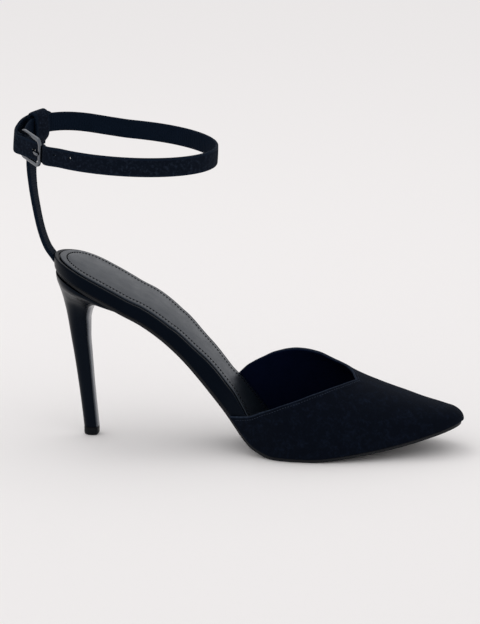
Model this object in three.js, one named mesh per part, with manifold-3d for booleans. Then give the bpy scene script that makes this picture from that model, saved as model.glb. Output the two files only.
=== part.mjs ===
// Ankle strap pump, right shoe: a suede vamp with one high side, a leather-covered footbed,
// a slim high heel, and a strap up the back that carries a buckled strap round the ankle.
// Lengths are millimetres. X runs from heel to toe, Y from the outer to the inner side of
// the foot, Z up from the floor. Every layer is drawn in upright cross-sections along X.
import * as THREE from 'three';
import { mergeVertices } from 'three/addons/utils/BufferGeometryUtils.js';
import Module from 'manifold-3d';

const wasm = await Module();
wasm.setup();

// Shoe as a whole
const SHOE_LENGTH = 230.5;
const SEAT_HEIGHT = 96.0;
const TOE_SPRING = 15.2;
const SEAT_WIDTH = 51.5;
const WAIST_WIDTH = 30.0;
const BALL_WIDTH = 71.2;
const SEAT_ROUND = 25.0;
const TOE_ROUND = 15.0;

// Clearances
const SEAT_GAP = 0.3;
const SEAM_GAP = 0.4;

// Outsole, footbed and insole sock
const OUTSOLE_THICKNESS = 2.0;
const OUTSOLE_INSET = 1.4;
const FOOTBED_SEAT = 6.4;
const FOOTBED_SHANK = 9.6;
const FOOTBED_TOE = 3.0;
const FOOTBED_EDGE = 1.0;
const FOOTBED_TOE_EASE = 1.6;
const SOCK_THICKNESS = 1.3;
const SOCK_MARGIN = 2.6;
const SOCK_RECESS = 0.8;

// Upper
const UPPER_WALL = 1.6;
const INSTEP_HEIGHT = 59.0;
const TOE_CAP_ROUND = 8.5;
const RIDGE_SHIFT = 8.0;
const SIDE_FULLNESS = 2.35;
const UPPER_ROWS_ALONG = 20;
const OUTER_ROWS = 15;
const INNER_ROWS = 17;

// Heel and top lift
const HEEL_TIP_DEPTH = 8.4;
const HEEL_TIP_WIDTH = 8.4;
const HEEL_TIP_SET_IN = 15.5;
const HEEL_SEAT_LENGTH = 41.0;
const LIFT_HEIGHT = 4.6;
const LIFT_CHAMFER = 0.7;

// Ankle strap, an ellipse seen from above that dips to the front
const RING_LENGTH = 106.4;
const RING_WIDTH = 72.0;
const RING_X = 39.6;
const RING_Y = -8.0;
const RING_HEIGHT = 167.9;
const RING_DIP = 3.3;
const RING_ROLL = 4.3;
const RING_LIFT = 4.6;
const STRAP_WIDTH = 10.7;
const STRAP_THICKNESS = 1.8;
const FIRST_HOLE = 20.6;
const HOLE_SPACING = 10.2;
const HOLE_DIAMETER = 1.5;
const HOLE_RAISE = 1.4;

// Back strap with its sleeve round the ankle strap
const BACK_WIDTH = 10.5;
const BACK_THICKNESS = 2.0;
const BACK_BULGE = 15.4;
const SLEEVE_ANGLE = 159;
const SLEEVE_HEADROOM = 1.2;
const SLEEVE_SLACK = 0.85;

// Buckle
const BUCKLE_ANGLE = 208;
const BUCKLE_LENGTH = 25.0;
const BUCKLE_HEIGHT = 16.6;
const BUCKLE_CORNER = 3.6;
const BUCKLE_BAR_DEPTH = 1.7;
const BUCKLE_BAR_WIDTH = 2.2;
const PRONG_THICKNESS = 1.5;
const PRONG_OVERHANG = 1.6;
const FOLD_TAIL = 6.5;

// Underside of the outsole: rise is a share of SEAT_HEIGHT, spring a share of TOE_SPRING
const UNDERSIDE = [
  { at: 0.000, rise: 1.000, spring: 0.00 },
  { at: 0.038, rise: 0.965, spring: 0.00 },
  { at: 0.077, rise: 0.922, spring: 0.00 },
  { at: 0.129, rise: 0.859, spring: 0.00 },
  { at: 0.179, rise: 0.796, spring: 0.00 },
  { at: 0.227, rise: 0.735, spring: 0.00 },
  { at: 0.275, rise: 0.650, spring: 0.00 },
  { at: 0.323, rise: 0.540, spring: 0.00 },
  { at: 0.371, rise: 0.405, spring: 0.00 },
  { at: 0.419, rise: 0.261, spring: 0.00 },
  { at: 0.445, rise: 0.187, spring: 0.00 },
  { at: 0.474, rise: 0.107, spring: 0.00 },
  { at: 0.500, rise: 0.051, spring: 0.00 },
  { at: 0.525, rise: 0.021, spring: 0.00 },
  { at: 0.550, rise: 0.003, spring: 0.00 },
  { at: 0.570, rise: 0.000, spring: 0.00 },
  { at: 0.655, rise: 0.000, spring: 0.00 },
  { at: 0.710, rise: 0.000, spring: 0.08 },
  { at: 0.812, rise: 0.000, spring: 0.31 },
  { at: 0.884, rise: 0.000, spring: 0.53 },
  { at: 0.940, rise: 0.000, spring: 0.76 },
  { at: 1.000, rise: 0.000, spring: 1.00 },
];

// Plan of the footbed: seat, waist and ball are shares of those three widths, and lean is the
// shift of the middle line to the inner side as a share of BALL_WIDTH
const PLAN = [
  { at: 0.000, seat: 1.00, waist: 0.00, ball: 0.000, lean: 0.000 },
  { at: 0.140, seat: 1.00, waist: 0.00, ball: 0.000, lean: 0.000 },
  { at: 0.200, seat: 0.93, waist: 0.07, ball: 0.000, lean: -0.004 },
  { at: 0.250, seat: 0.84, waist: 0.16, ball: 0.000, lean: 0.003 },
  { at: 0.300, seat: 0.66, waist: 0.34, ball: 0.000, lean: 0.002 },
  { at: 0.350, seat: 0.41, waist: 0.59, ball: 0.000, lean: -0.012 },
  { at: 0.400, seat: 0.18, waist: 0.82, ball: 0.000, lean: -0.039 },
  { at: 0.430, seat: 0.10, waist: 0.88, ball: 0.020, lean: -0.053 },
  { at: 0.465, seat: 0.02, waist: 0.79, ball: 0.190, lean: -0.060 },
  { at: 0.500, seat: 0.00, waist: 0.58, ball: 0.420, lean: -0.058 },
  { at: 0.535, seat: 0.00, waist: 0.36, ball: 0.640, lean: -0.044 },
  { at: 0.575, seat: 0.00, waist: 0.14, ball: 0.860, lean: -0.026 },
  { at: 0.620, seat: 0.00, waist: 0.03, ball: 0.970, lean: -0.007 },
  { at: 0.665, seat: 0.00, waist: 0.00, ball: 1.000, lean: 0.010 },
  { at: 0.715, seat: 0.00, waist: 0.00, ball: 0.975, lean: 0.027 },
  { at: 0.775, seat: 0.00, waist: 0.00, ball: 0.880, lean: 0.042 },
  { at: 0.835, seat: 0.00, waist: 0.00, ball: 0.740, lean: 0.054 },
  { at: 0.895, seat: 0.00, waist: 0.00, ball: 0.580, lean: 0.065 },
  { at: 0.945, seat: 0.00, waist: 0.00, ball: 0.445, lean: 0.072 },
  { at: 1.000, seat: 0.00, waist: 0.00, ball: 0.320, lean: 0.077 },
];

// Thickness of the footbed across its own slope, as shares of its three named thicknesses
const FOOTBED = [
  { at: 0.00, seat: 1.00, shank: 0.00, toe: 0.00 },
  { at: 0.23, seat: 0.80, shank: 0.15, toe: 0.00 },
  { at: 0.30, seat: 0.00, shank: 0.66, toe: 0.00 },
  { at: 0.35, seat: 0.00, shank: 0.71, toe: 0.00 },
  { at: 0.38, seat: 0.00, shank: 0.83, toe: 0.00 },
  { at: 0.42, seat: 0.00, shank: 0.94, toe: 0.00 },
  { at: 0.455, seat: 0.00, shank: 1.00, toe: 0.00 },
  { at: 0.475, seat: 0.00, shank: 1.00, toe: 0.00 },
  { at: 0.50, seat: 0.00, shank: 0.82, toe: 0.12 },
  { at: 0.53, seat: 0.00, shank: 0.52, toe: 0.30 },
  { at: 0.64, seat: 0.00, shank: 0.15, toe: 0.80 },
  { at: 0.80, seat: 0.00, shank: 0.00, toe: 1.00 },
  { at: 1.00, seat: 0.00, shank: 0.00, toe: 1.00 },
];

// Roof of the upper over the outsole as a share of INSTEP_HEIGHT, and how far its ridge
// leans to the inner side as a share of RIDGE_SHIFT
const ROOF = [
  { at: 0.40, height: 0.84, ridge: 1.00 },
  { at: 0.44, height: 0.89, ridge: 1.00 },
  { at: 0.49, height: 0.97, ridge: 1.00 },
  { at: 0.53, height: 1.00, ridge: 1.00 },
  { at: 0.58, height: 0.955, ridge: 1.00 },
  { at: 0.63, height: 0.86, ridge: 0.98 },
  { at: 0.68, height: 0.735, ridge: 0.85 },
  { at: 0.735, height: 0.600, ridge: 0.65 },
  { at: 0.79, height: 0.490, ridge: 0.50 },
  { at: 0.855, height: 0.370, ridge: 0.33 },
  { at: 0.92, height: 0.238, ridge: 0.15 },
  { at: 0.965, height: 0.155, ridge: 0.05 },
  { at: 1.00, height: 0.115, ridge: 0.00 },
];

// Topline: along is the place along the shoe and at the turn round the section, from 0 at the
// outer edge of the sole to 1 at the inner. The two tables meet in the point of the throat.
const OUTER_TOPLINE = [
  { at: 0.000, along: 0.4480 },
  { at: 0.050, along: 0.4770 },
  { at: 0.086, along: 0.5020 },
  { at: 0.117, along: 0.5270 },
  { at: 0.143, along: 0.5520 },
  { at: 0.164, along: 0.5760 },
  { at: 0.186, along: 0.6010 },
  { at: 0.211, along: 0.6240 },
  { at: 0.246, along: 0.6490 },
  { at: 0.293, along: 0.6775 },
  { at: 0.358, along: 0.7090 },
  { at: 0.414, along: 0.7285 },
  { at: 0.460, along: 0.7420 },
];

const INNER_TOPLINE = [
  { at: 0.460, along: 0.7420 },
  { at: 0.490, along: 0.7340 },
  { at: 0.521, along: 0.7255 },
  { at: 0.565, along: 0.7110 },
  { at: 0.603, along: 0.6930 },
  { at: 0.632, along: 0.6690 },
  { at: 0.648, along: 0.6430 },
  { at: 0.668, along: 0.6180 },
  { at: 0.687, along: 0.5910 },
  { at: 0.699, along: 0.5710 },
  { at: 0.712, along: 0.5540 },
  { at: 0.733, along: 0.5360 },
  { at: 0.761, along: 0.5130 },
  { at: 0.801, along: 0.4900 },
  { at: 0.850, along: 0.4670 },
  { at: 0.895, along: 0.4510 },
  { at: 0.935, along: 0.4380 },
  { at: 1.000, along: 0.4200 },
];

// Heel rings from the tip up: back and front are shares of the seat length along X, low and
// high are the heights of the ring's front and back as shares of SEAT_HEIGHT, and width is a
// share of SEAT_WIDTH added to the tip's own width
const HEEL_RINGS = [
  { back: 0.000, front: 0.000, low: 0.050, high: 0.050, width: 0.000 },
  { back: 0.030, front: -0.030, low: 0.182, high: 0.168, width: 0.000 },
  { back: 0.070, front: -0.060, low: 0.330, high: 0.306, width: 0.006 },
  { back: 0.120, front: -0.085, low: 0.479, high: 0.460, width: 0.020 },
  { back: 0.170, front: -0.105, low: 0.594, high: 0.594, width: 0.052 },
  { back: 0.217, front: -0.105, low: 0.703, high: 0.724, width: 0.120 },
  { back: 0.260, front: -0.060, low: 0.772, high: 0.818, width: 0.245 },
  { back: 0.290, front: 0.010, low: 0.804, high: 0.875, width: 0.400 },
  { back: 0.320, front: 0.112, low: 0.816, high: 0.922, width: 0.560 },
  { back: 0.345, front: 0.234, low: 0.809, high: 0.958, width: 0.690 },
  { back: 0.358, front: 0.368, low: 0.792, high: 0.998, width: 0.765 },
  { back: 0.360, front: 0.515, low: 0.764, high: 1.083, width: 0.780 },
];

// Lift of the ankle ring round its sleeve as a share of RING_LIFT, round one full turn
const RING_RISE = [
  { at: 0.000, lift: 0.00 },
  { at: 0.250, lift: 0.00 },
  { at: 0.290, lift: 0.22 },
  { at: 0.340, lift: 0.72 },
  { at: 0.380, lift: 0.96 },
  { at: 0.425, lift: 1.00 },
  { at: 0.460, lift: 0.88 },
  { at: 0.500, lift: 0.46 },
  { at: 0.545, lift: 0.10 },
  { at: 0.590, lift: 0.00 },
  { at: 1.000, lift: 0.00 },
];

// Tail of the ankle strap outside the sleeve: along is the angle past the buckle in degrees,
// and out is a share of the distance that clears the sleeve
const TAIL_ROWS = [
  { along: -21, out: 1.06 },
  { along: -30, out: 1.00 },
  { along: -40, out: 1.00 },
  { along: -50, out: 1.00 },
  { along: -60, out: 1.00 },
  { along: -68, out: 1.00 },
];

// A smooth curve through one column of a table
function column(rows, name) {
  const slope = (i) => {
    const before = rows[Math.max(i - 1, 0)];
    const after = rows[Math.min(i + 1, rows.length - 1)];
    return (after[name] - before[name]) / (after.at - before.at);
  };
  return (at) => {
    let i = 0;
    while (i < rows.length - 2 && at > rows[i + 1].at) {
      i += 1;
    }
    const [p, q] = [rows[i], rows[i + 1]];
    const span = q.at - p.at;
    const t = THREE.MathUtils.clamp((at - p.at) / span, 0, 1);
    // Two equal values in a row make a level stretch
    const level = p[name] === q[name];
    const a = level ? 0 : slope(i) * span;
    const b = level ? 0 : slope(i + 1) * span;
    const [t2, t3] = [t * t, t * t * t];
    return (2 * t3 - 3 * t2 + 1) * p[name] + (t3 - 2 * t2 + t) * a
      + (3 * t2 - 2 * t3) * q[name] + (t3 - t2) * b;
  };
}

// The values of a table's columns at one place, weighed by the sizes that they are shares of
function weighed(rows, sizes) {
  const columns = Object.keys(sizes).map((name) => [column(rows, name), sizes[name]]);
  return (at) => columns.reduce((sum, [curve, size]) => sum + curve(at) * size, 0);
}

const undersideAt = weighed(UNDERSIDE, { rise: SEAT_HEIGHT, spring: TOE_SPRING });
const planAt = weighed(PLAN, { seat: SEAT_WIDTH / 2, waist: WAIST_WIDTH / 2, ball: BALL_WIDTH / 2 });
const leanAt = weighed(PLAN, { lean: BALL_WIDTH });
const footbedAt = weighed(FOOTBED, { seat: FOOTBED_SEAT, shank: FOOTBED_SHANK, toe: FOOTBED_TOE });
const roofAt = weighed(ROOF, { height: INSTEP_HEIGHT });
const ridgeAt = weighed(ROOF, { ridge: RIDGE_SHIFT });

// Length of a layer measured up, for a thickness measured across the sole's slope
function upright(x, thickness) {
  const step = 0.5;
  const rise = undersideAt((x + step) / SHOE_LENGTH) - undersideAt((x - step) / SHOE_LENGTH);
  return thickness * Math.hypot(1, rise / (2 * step));
}

const underside = (x) => undersideAt(x / SHOE_LENGTH);
const outsoleTop = (x) => underside(x) + upright(x, OUTSOLE_THICKNESS);
const footbedBottom = (x) => outsoleTop(x) + SEAT_GAP;
const footbedTop = (x) => footbedBottom(x) + upright(x, footbedAt(x / SHOE_LENGTH));
const sockBottom = (x) => footbedTop(x) - SOCK_RECESS + SEAT_GAP;
const sockTop = (x) => sockBottom(x) + SOCK_THICKNESS;

// Quarter-ellipse rounding at an end: 0 at the very end and 1 from one radius in
function rounded(distance, radius) {
  const t = THREE.MathUtils.clamp(1 - distance / radius, 0, 1);
  return Math.sqrt(1 - t * t);
}

// Half width of the plan, moved in by inset, between the layer's own two ends
function halfWidth(x, inset, heelEnd, toeEnd) {
  const width = planAt(x / SHOE_LENGTH) - inset;
  return width * rounded(x - heelEnd, SEAT_ROUND - heelEnd) * rounded(toeEnd - x, TOE_ROUND);
}

const middle = (x) => leanAt(x / SHOE_LENGTH);

// Geometry of a closed solid from its points and triangles, turned to face outwards
function solidGeometry(points, triangles) {
  const edge1 = new THREE.Vector3();
  const edge2 = new THREE.Vector3();
  let volume = 0;
  for (const [a, b, c] of triangles) {
    edge1.copy(points[b]);
    edge2.copy(points[c]);
    volume += points[a].dot(edge1.cross(edge2));
  }
  const facing = volume > 0 ? triangles : triangles.map(([a, b, c]) => [a, c, b]);
  const geometry = new THREE.BufferGeometry();
  const positions = points.flatMap((p) => [p.x, p.y, p.z]);
  geometry.setAttribute('position', new THREE.Float32BufferAttribute(positions, 3));
  geometry.setIndex(facing.flat());
  return mergeVertices(geometry, 1e-4);
}

// A solid skinned over rings of equal point counts, with flat ends unless the rings close up
function loft(rings, closed = false) {
  const size = rings[0].length;
  const points = rings.flat();
  const triangles = [];
  const last = closed ? rings.length : rings.length - 1;
  for (let i = 0; i < last; i += 1) {
    const near = i * size;
    const far = ((i + 1) % rings.length) * size;
    for (let j = 0; j < size; j += 1) {
      const k = (j + 1) % size;
      triangles.push([near + j, near + k, far + k], [near + j, far + k, far + j]);
    }
  }
  if (!closed) {
    const end = (rings.length - 1) * size;
    for (let j = 1; j < size - 1; j += 1) {
      triangles.push([0, j + 1, j], [end, end + j, end + j + 1]);
    }
  }
  return solidGeometry(points, triangles);
}

function toManifold(geometry) {
  const plain = geometry.clone();
  plain.deleteAttribute('normal');
  plain.deleteAttribute('uv');
  const merged = mergeVertices(plain, 1e-4);
  return new wasm.Manifold(new wasm.Mesh({
    numProp: 3,
    vertProperties: new Float32Array(merged.attributes.position.array),
    triVerts: new Uint32Array(merged.index.array),
  }));
}

function fromManifold(solid) {
  const mesh = solid.getMesh();
  const geometry = new THREE.BufferGeometry();
  const positions = new Float32Array(mesh.vertProperties);
  geometry.setAttribute('position', new THREE.BufferAttribute(positions, 3));
  geometry.setIndex(Array.from(mesh.triVerts));
  return geometry;
}

function cut(geometry, ...cutters) {
  const start = toManifold(geometry);
  return fromManifold(cutters.reduce((solid, cutter) => solid.subtract(toManifold(cutter)), start));
}

// Stations along X: every layer shares the same ones, so that faces that meet run side by
// side, and each adds a few of its own at its two rounded ends
const STATION_STEP = SHOE_LENGTH / 48;
const END_STATIONS = [0, 0.5, 1.6, 3.4, 6.0];

function stations(from, to) {
  const reach = END_STATIONS.at(-1);
  const shared = [];
  for (let x = 0; x <= SHOE_LENGTH; x += STATION_STEP) {
    if (x > from + reach + 0.5 && x < to - reach - 0.5) {
      shared.push(x);
    }
  }
  const head = END_STATIONS.map((step) => from + step);
  const tail = END_STATIONS.map((step) => to - step).reverse();
  return [...head, ...shared, ...tail];
}

// A layer of the sole: half(x) is its half width, and its sides lean in by edge at the top
function layer(from, to, half, bottom, top, edge) {
  const rings = stations(from, to).map((x) => {
    const [w, y, low, high] = [half(x), middle(x), bottom(x), top(x)];
    const bevel = Math.min(edge, (high - low) * 0.3, w * 0.3);
    const outline = [
      [-w + bevel * 0.6, low], [w - bevel * 0.6, low], [w, low + bevel * 0.6],
      [w - bevel * 0.4, high - bevel], [w - bevel, high], [-w + bevel, high],
      [-w + bevel * 0.4, high - bevel], [-w, low + bevel * 0.6],
    ];
    return outline.map(([across, z]) => new THREE.Vector3(x, y + across, z));
  });
  return loft(rings);
}

// Outsole: under the footbed at the back, and under the upper's edge at the front
const upperSpread = SEAM_GAP + UPPER_WALL;
const outsoleEnd = SHOE_LENGTH - OUTSOLE_INSET;
const coverStart = INNER_TOPLINE.at(-1).along * SHOE_LENGTH;
const coverEnd = OUTER_TOPLINE[2].along * SHOE_LENGTH;

function outsoleHalf(x) {
  const cover = THREE.MathUtils.smoothstep(x, coverStart, coverEnd);
  return halfWidth(x, OUTSOLE_INSET - cover * upperSpread, OUTSOLE_INSET, outsoleEnd);
}

const END_STEP = 0.25;
const outsole = layer(
  OUTSOLE_INSET + END_STEP, outsoleEnd - END_STEP, outsoleHalf, underside, outsoleTop, 0.6,
);

// Footbed: the leather-covered board, with a rebate for the sock
const footbedEnd = SHOE_LENGTH - upperSpread - FOOTBED_TOE_EASE - FOOTBED_TOE;

function footbedHalf(x) {
  const ease = THREE.MathUtils.smoothstep(x, SHOE_LENGTH * 0.8, SHOE_LENGTH) * FOOTBED_TOE_EASE;
  return halfWidth(x, ease, 0, footbedEnd);
}

const sockEnd = footbedEnd - SOCK_MARGIN;
const sockHalf = (x) => halfWidth(x, SOCK_MARGIN, SOCK_MARGIN, sockEnd);
const rebateHalf = (x) => halfWidth(
  x, SOCK_MARGIN - SEAT_GAP, SOCK_MARGIN - SEAT_GAP, sockEnd + SEAT_GAP,
);
const rebateBottom = (x) => sockBottom(x) - SEAT_GAP;
const rebateTop = (x) => footbedTop(x) + SOCK_THICKNESS;

const sock = layer(
  SOCK_MARGIN + END_STEP, sockEnd - END_STEP, sockHalf, sockBottom, sockTop, 0.5,
);
const rebate = layer(
  SOCK_MARGIN - SEAT_GAP + END_STEP, sockEnd + SEAT_GAP - END_STEP,
  rebateHalf, rebateBottom, rebateTop, 0,
);
const footbedBlank = layer(
  END_STEP, footbedEnd - END_STEP, footbedHalf, footbedBottom, footbedTop, FOOTBED_EDGE,
);

// Upper: one wall over the front of the last. A point is given by its place along the shoe
// and its turn round the section, from 0 at the outer edge of the sole to 1 at the inner.
// depth is how far inside the outer face it lies.
function lastPoint(x, turn, depth) {
  const at = x / SHOE_LENGTH;
  const nose = SHOE_LENGTH - depth - x;
  const half = (planAt(at) + upperSpread - depth) * rounded(nose, TOE_ROUND + upperSpread - depth);
  const toe = rounded(nose, TOE_CAP_ROUND - depth);
  const angle = Math.PI * turn;
  const share = Math.sin(angle);
  const across = Math.sign(Math.cos(angle)) * (1 - share ** SIDE_FULLNESS) ** (1 / SIDE_FULLNESS);
  const y = middle(x) - half * across + ridgeAt(at) * toe * share ** 2;
  return new THREE.Vector3(x, y, footbedBottom(x) + (roofAt(at) - depth) * toe * share);
}

// Place along the shoe where the topline meets a given turn round the section
const outerTopline = column(OUTER_TOPLINE, 'along');
const innerTopline = column(INNER_TOPLINE, 'along');
const throat = OUTER_TOPLINE.at(-1).at;
const topline = (turn) => (turn < throat ? outerTopline(turn) : innerTopline(turn)) * SHOE_LENGTH;

// Turns round the section that lie evenly along the topline
function edgeTurns(from, to, count) {
  const fine = 400;
  const turns = Array.from({ length: fine + 1 }, (_, i) => THREE.MathUtils.lerp(from, to, i / fine));
  const edge = turns.map((turn) => lastPoint(topline(turn), turn, 0));
  const travelled = [0];
  for (let i = 1; i <= fine; i += 1) {
    travelled.push(travelled[i - 1] + edge[i].distanceTo(edge[i - 1]));
  }
  return Array.from({ length: count }, (_, i) => {
    const distance = (travelled[fine] * i) / count;
    return turns[travelled.findIndex((along) => along >= distance)];
  });
}

function upperGeometry() {
  const turns = [...edgeTurns(0, throat, OUTER_ROWS), ...edgeTurns(throat, 1, INNER_ROWS), 1];
  const [across, along] = [OUTER_ROWS + INNER_ROWS, UPPER_ROWS_ALONG];
  const points = [];
  const index = (side, i, j) => (side * (along + 1) + i) * (across + 1) + j;
  for (const depth of [0, UPPER_WALL]) {
    for (let i = 0; i <= along; i += 1) {
      for (let j = 0; j <= across; j += 1) {
        const turn = turns[j];
        const share = (i / along) ** 1.7;
        const nose = SHOE_LENGTH - depth;
        points.push(lastPoint(nose - (nose - topline(turn)) * share, turn, depth));
      }
    }
  }
  const triangles = [];
  const quad = (a, b, c, d) => triangles.push([a, b, c], [a, c, d]);
  for (let i = 0; i < along; i += 1) {
    for (let j = 0; j < across; j += 1) {
      quad(index(0, i, j), index(0, i, j + 1), index(0, i + 1, j + 1), index(0, i + 1, j));
      quad(index(1, i, j), index(1, i + 1, j), index(1, i + 1, j + 1), index(1, i, j + 1));
    }
    // The two feather edges that stand on the outsole
    quad(index(0, i, 0), index(0, i + 1, 0), index(1, i + 1, 0), index(1, i, 0));
    quad(index(0, i, across), index(1, i, across), index(1, i + 1, across), index(0, i + 1, across));
  }
  for (let j = 0; j < across; j += 1) {
    quad(index(0, along, j), index(0, along, j + 1), index(1, along, j + 1), index(1, along, j));
  }
  return solidGeometry(points, triangles.filter(([a, b, c]) => {
    const distinct = (p, q) => points[p].distanceTo(points[q]) > 1e-4;
    return distinct(a, b) && distinct(b, c) && distinct(c, a);
  }));
}

// Heel: rings that tilt from level at the tip to the slope of the seat, cut by the outsole
const RING_STEPS = 20;

function heelRing(back, front, high, low, width) {
  return Array.from({ length: RING_STEPS }, (_, i) => {
    const angle = (2 * Math.PI * i) / RING_STEPS;
    // A round back, and a front that is nearly flat across the breast
    const turn = Math.cos(angle);
    const along = turn < 0 ? (1 + turn) / 2 : 0.5 + 0.5 * turn ** 0.45;
    const sine = Math.sin(angle);
    const fullness = turn < 0 ? 1 : 0.55;
    const y = (Math.sign(sine) * Math.abs(sine) ** fullness * width) / 2;
    const x = THREE.MathUtils.lerp(back, front, along);
    return new THREE.Vector3(x, y, THREE.MathUtils.lerp(high, low, along));
  });
}

const tipFront = HEEL_TIP_SET_IN + HEEL_TIP_DEPTH;

function heelGeometry() {
  const rings = HEEL_RINGS.map((row, i) => heelRing(
    HEEL_TIP_SET_IN - row.back * HEEL_SEAT_LENGTH,
    tipFront + row.front * HEEL_SEAT_LENGTH,
    i === 0 ? LIFT_HEIGHT + SEAT_GAP : row.high * SEAT_HEIGHT,
    i === 0 ? LIFT_HEIGHT + SEAT_GAP : row.low * SEAT_HEIGHT,
    HEEL_TIP_WIDTH + row.width * SEAT_WIDTH,
  ));
  const seat = layer(
    -SEAT_ROUND, SHOE_LENGTH / 2, () => SEAT_WIDTH,
    (x) => underside(Math.max(x, 0)) - SEAT_GAP, () => 2 * SEAT_HEIGHT, 0,
  );
  return cut(loft(rings), seat);
}

function liftGeometry() {
  const ring = (inset, z) => heelRing(
    HEEL_TIP_SET_IN + inset, tipFront - inset, z, z, HEEL_TIP_WIDTH - 2 * inset,
  );
  return loft([ring(LIFT_CHAMFER, 0), ring(0, LIFT_CHAMFER * 2), ring(0, LIFT_HEIGHT)]);
}

// Straps: a rounded rectangle carried along stations that give its middle, its width
// direction and its thickness direction
function strip(path, width, thickness) {
  const soft = thickness * 0.3;
  const [w, t] = [width / 2, thickness / 2];
  const section = [
    [-w + soft, -t], [w - soft, -t], [w, -t + soft], [w, t - soft],
    [w - soft, t], [-w + soft, t], [-w, t - soft], [-w, -t + soft],
  ];
  return loft(path.map(({ point, wide, out }) => section.map(([a, b]) => (
    point.clone().addScaledVector(wide, a).addScaledVector(out, b)
  ))));
}

const radians = THREE.MathUtils.degToRad;
const ringTilt = new THREE.Quaternion().setFromEuler(
  new THREE.Euler(radians(RING_ROLL), radians(RING_DIP), 0),
);
const ringCentre = new THREE.Vector3(RING_X, RING_Y, RING_HEIGHT);
const ringLift = weighed(RING_RISE, { lift: RING_LIFT });

// A point of the ankle strap's middle line at an angle from the front, seen from above
function ringPoint(degrees) {
  const angle = radians(degrees);
  const turn = THREE.MathUtils.euclideanModulo(degrees, 360) / 360;
  const [x, y] = [(Math.cos(angle) * RING_LENGTH) / 2, (Math.sin(angle) * RING_WIDTH) / 2];
  return new THREE.Vector3(x, y, ringLift(turn)).applyQuaternion(ringTilt).add(ringCentre);
}

// The ankle ring at an angle: its point, and its outward, travelling and upward directions
function ringFrame(degrees, offset = 0) {
  const angle = radians(degrees);
  const out = new THREE.Vector3(
    Math.cos(angle) * RING_WIDTH, Math.sin(angle) * RING_LENGTH, 0,
  ).normalize().applyQuaternion(ringTilt);
  const travel = ringPoint(degrees + 1).sub(ringPoint(degrees - 1)).normalize();
  const up = out.clone().cross(travel).normalize();
  return { point: ringPoint(degrees).addScaledVector(out, offset), out, travel, up };
}

// Angle on the ring at a distance along the strap from the middle of the buckle
function ringAngle(distance) {
  const stepDegrees = 0.5;
  let degrees = BUCKLE_ANGLE;
  let travelled = 0;
  while (travelled < distance) {
    const here = ringFrame(degrees).point;
    degrees += stepDegrees;
    travelled += ringFrame(degrees).point.distanceTo(here);
  }
  return degrees;
}

// The buckle's own frame: p runs along the strap from its hinge to its front bar, and r out
const buckleFrame = ringFrame(BUCKLE_ANGLE);

function bucklePoint(p, r, q = 0) {
  return buckleFrame.point.clone()
    .addScaledVector(buckleFrame.travel, p)
    .addScaledVector(buckleFrame.out, r)
    .addScaledVector(buckleFrame.up, q);
}

const barHalf = BUCKLE_BAR_DEPTH / 2;
const strapHalf = STRAP_THICKNESS / 2;
const barReach = BUCKLE_LENGTH / 2 - BUCKLE_BAR_WIDTH / 2;
const wrapRadius = barHalf + SEAT_GAP + strapHalf;
const overWrap = wrapRadius + STRAP_THICKNESS + SEAT_GAP;

// A station of the strap in the buckle's frame, where heading is its direction of travel
function buckleStation(p, r, heading) {
  const angle = radians(heading);
  const out = buckleFrame.out.clone().multiplyScalar(Math.cos(angle))
    .addScaledVector(buckleFrame.travel, Math.sin(angle));
  return { point: bucklePoint(p, r), wide: buckleFrame.up, out };
}

// The strap starts in a fold round the hinge bar, runs back through the sleeve and round the
// ankle, passes under the front bar and over the hinge bar, and ends in a tail on the outside
const layerRise = STRAP_THICKNESS + SEAT_GAP;
const sleeveRadius = strapHalf + SLEEVE_SLACK + BACK_THICKNESS / 2;
const tailOffset = sleeveRadius + BACK_THICKNESS / 2 + SLEEVE_SLACK * 0.7 + strapHalf;
const ringStation = (degrees, offset) => {
  const { point, out, up } = ringFrame(degrees, offset);
  return { point, wide: up, out };
};

function anklePath() {
  const path = [];
  const hingeFrame = -barReach;
  path.push(buckleStation(hingeFrame - FOLD_TAIL, wrapRadius - 1.2, -14));
  path.push(buckleStation(hingeFrame - FOLD_TAIL / 2, wrapRadius - 0.2, -8));
  for (let turn = 0; turn <= 180; turn += 30) {
    const angle = radians(turn);
    path.push(buckleStation(
      hingeFrame + wrapRadius * Math.sin(angle), wrapRadius * Math.cos(angle), turn,
    ));
  }
  // From here on the strap's outer face looks out again, so its stations are turned over
  const run = [];
  for (let degrees = 182; degrees > -128; degrees -= 8) {
    run.push(ringStation(degrees, 0));
  }
  run.push(buckleStation(barReach + 4, -wrapRadius + 0.3, 6));
  run.push(buckleStation(barReach, -wrapRadius, -4));
  run.push(buckleStation(barReach - 5, -wrapRadius + 1.1, -15));
  run.push(buckleStation(hingeFrame + 6, overWrap - 1.2, -15));
  run.push(buckleStation(hingeFrame + 1, overWrap, -4));
  for (const { along, out } of TAIL_ROWS) {
    run.push(ringStation(BUCKLE_ANGLE - 360 + along, tailOffset * out));
  }
  const turned = run.map(({ point, wide, out }) => ({
    point, wide: wide.clone().negate(), out: out.clone().negate(),
  }));
  return [...path, ...turned];
}

function prongPath() {
  const rise = [
    [-barReach + wrapRadius + strapHalf + SEAT_GAP, -0.4, 5],
    [-2, -1.1, 0], [2.2, -0.9, -20], [5.5, 0.7, -24], [8, 1.6, -8],
    [barReach + 0.4, barHalf + SEAT_GAP + PRONG_THICKNESS / 2, 0],
    [barReach + PRONG_OVERHANG, barHalf + SEAT_GAP + PRONG_THICKNESS / 2 - 0.2, 10],
  ];
  return rise.map(([p, r, heading]) => buckleStation(p, r, heading));
}

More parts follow.
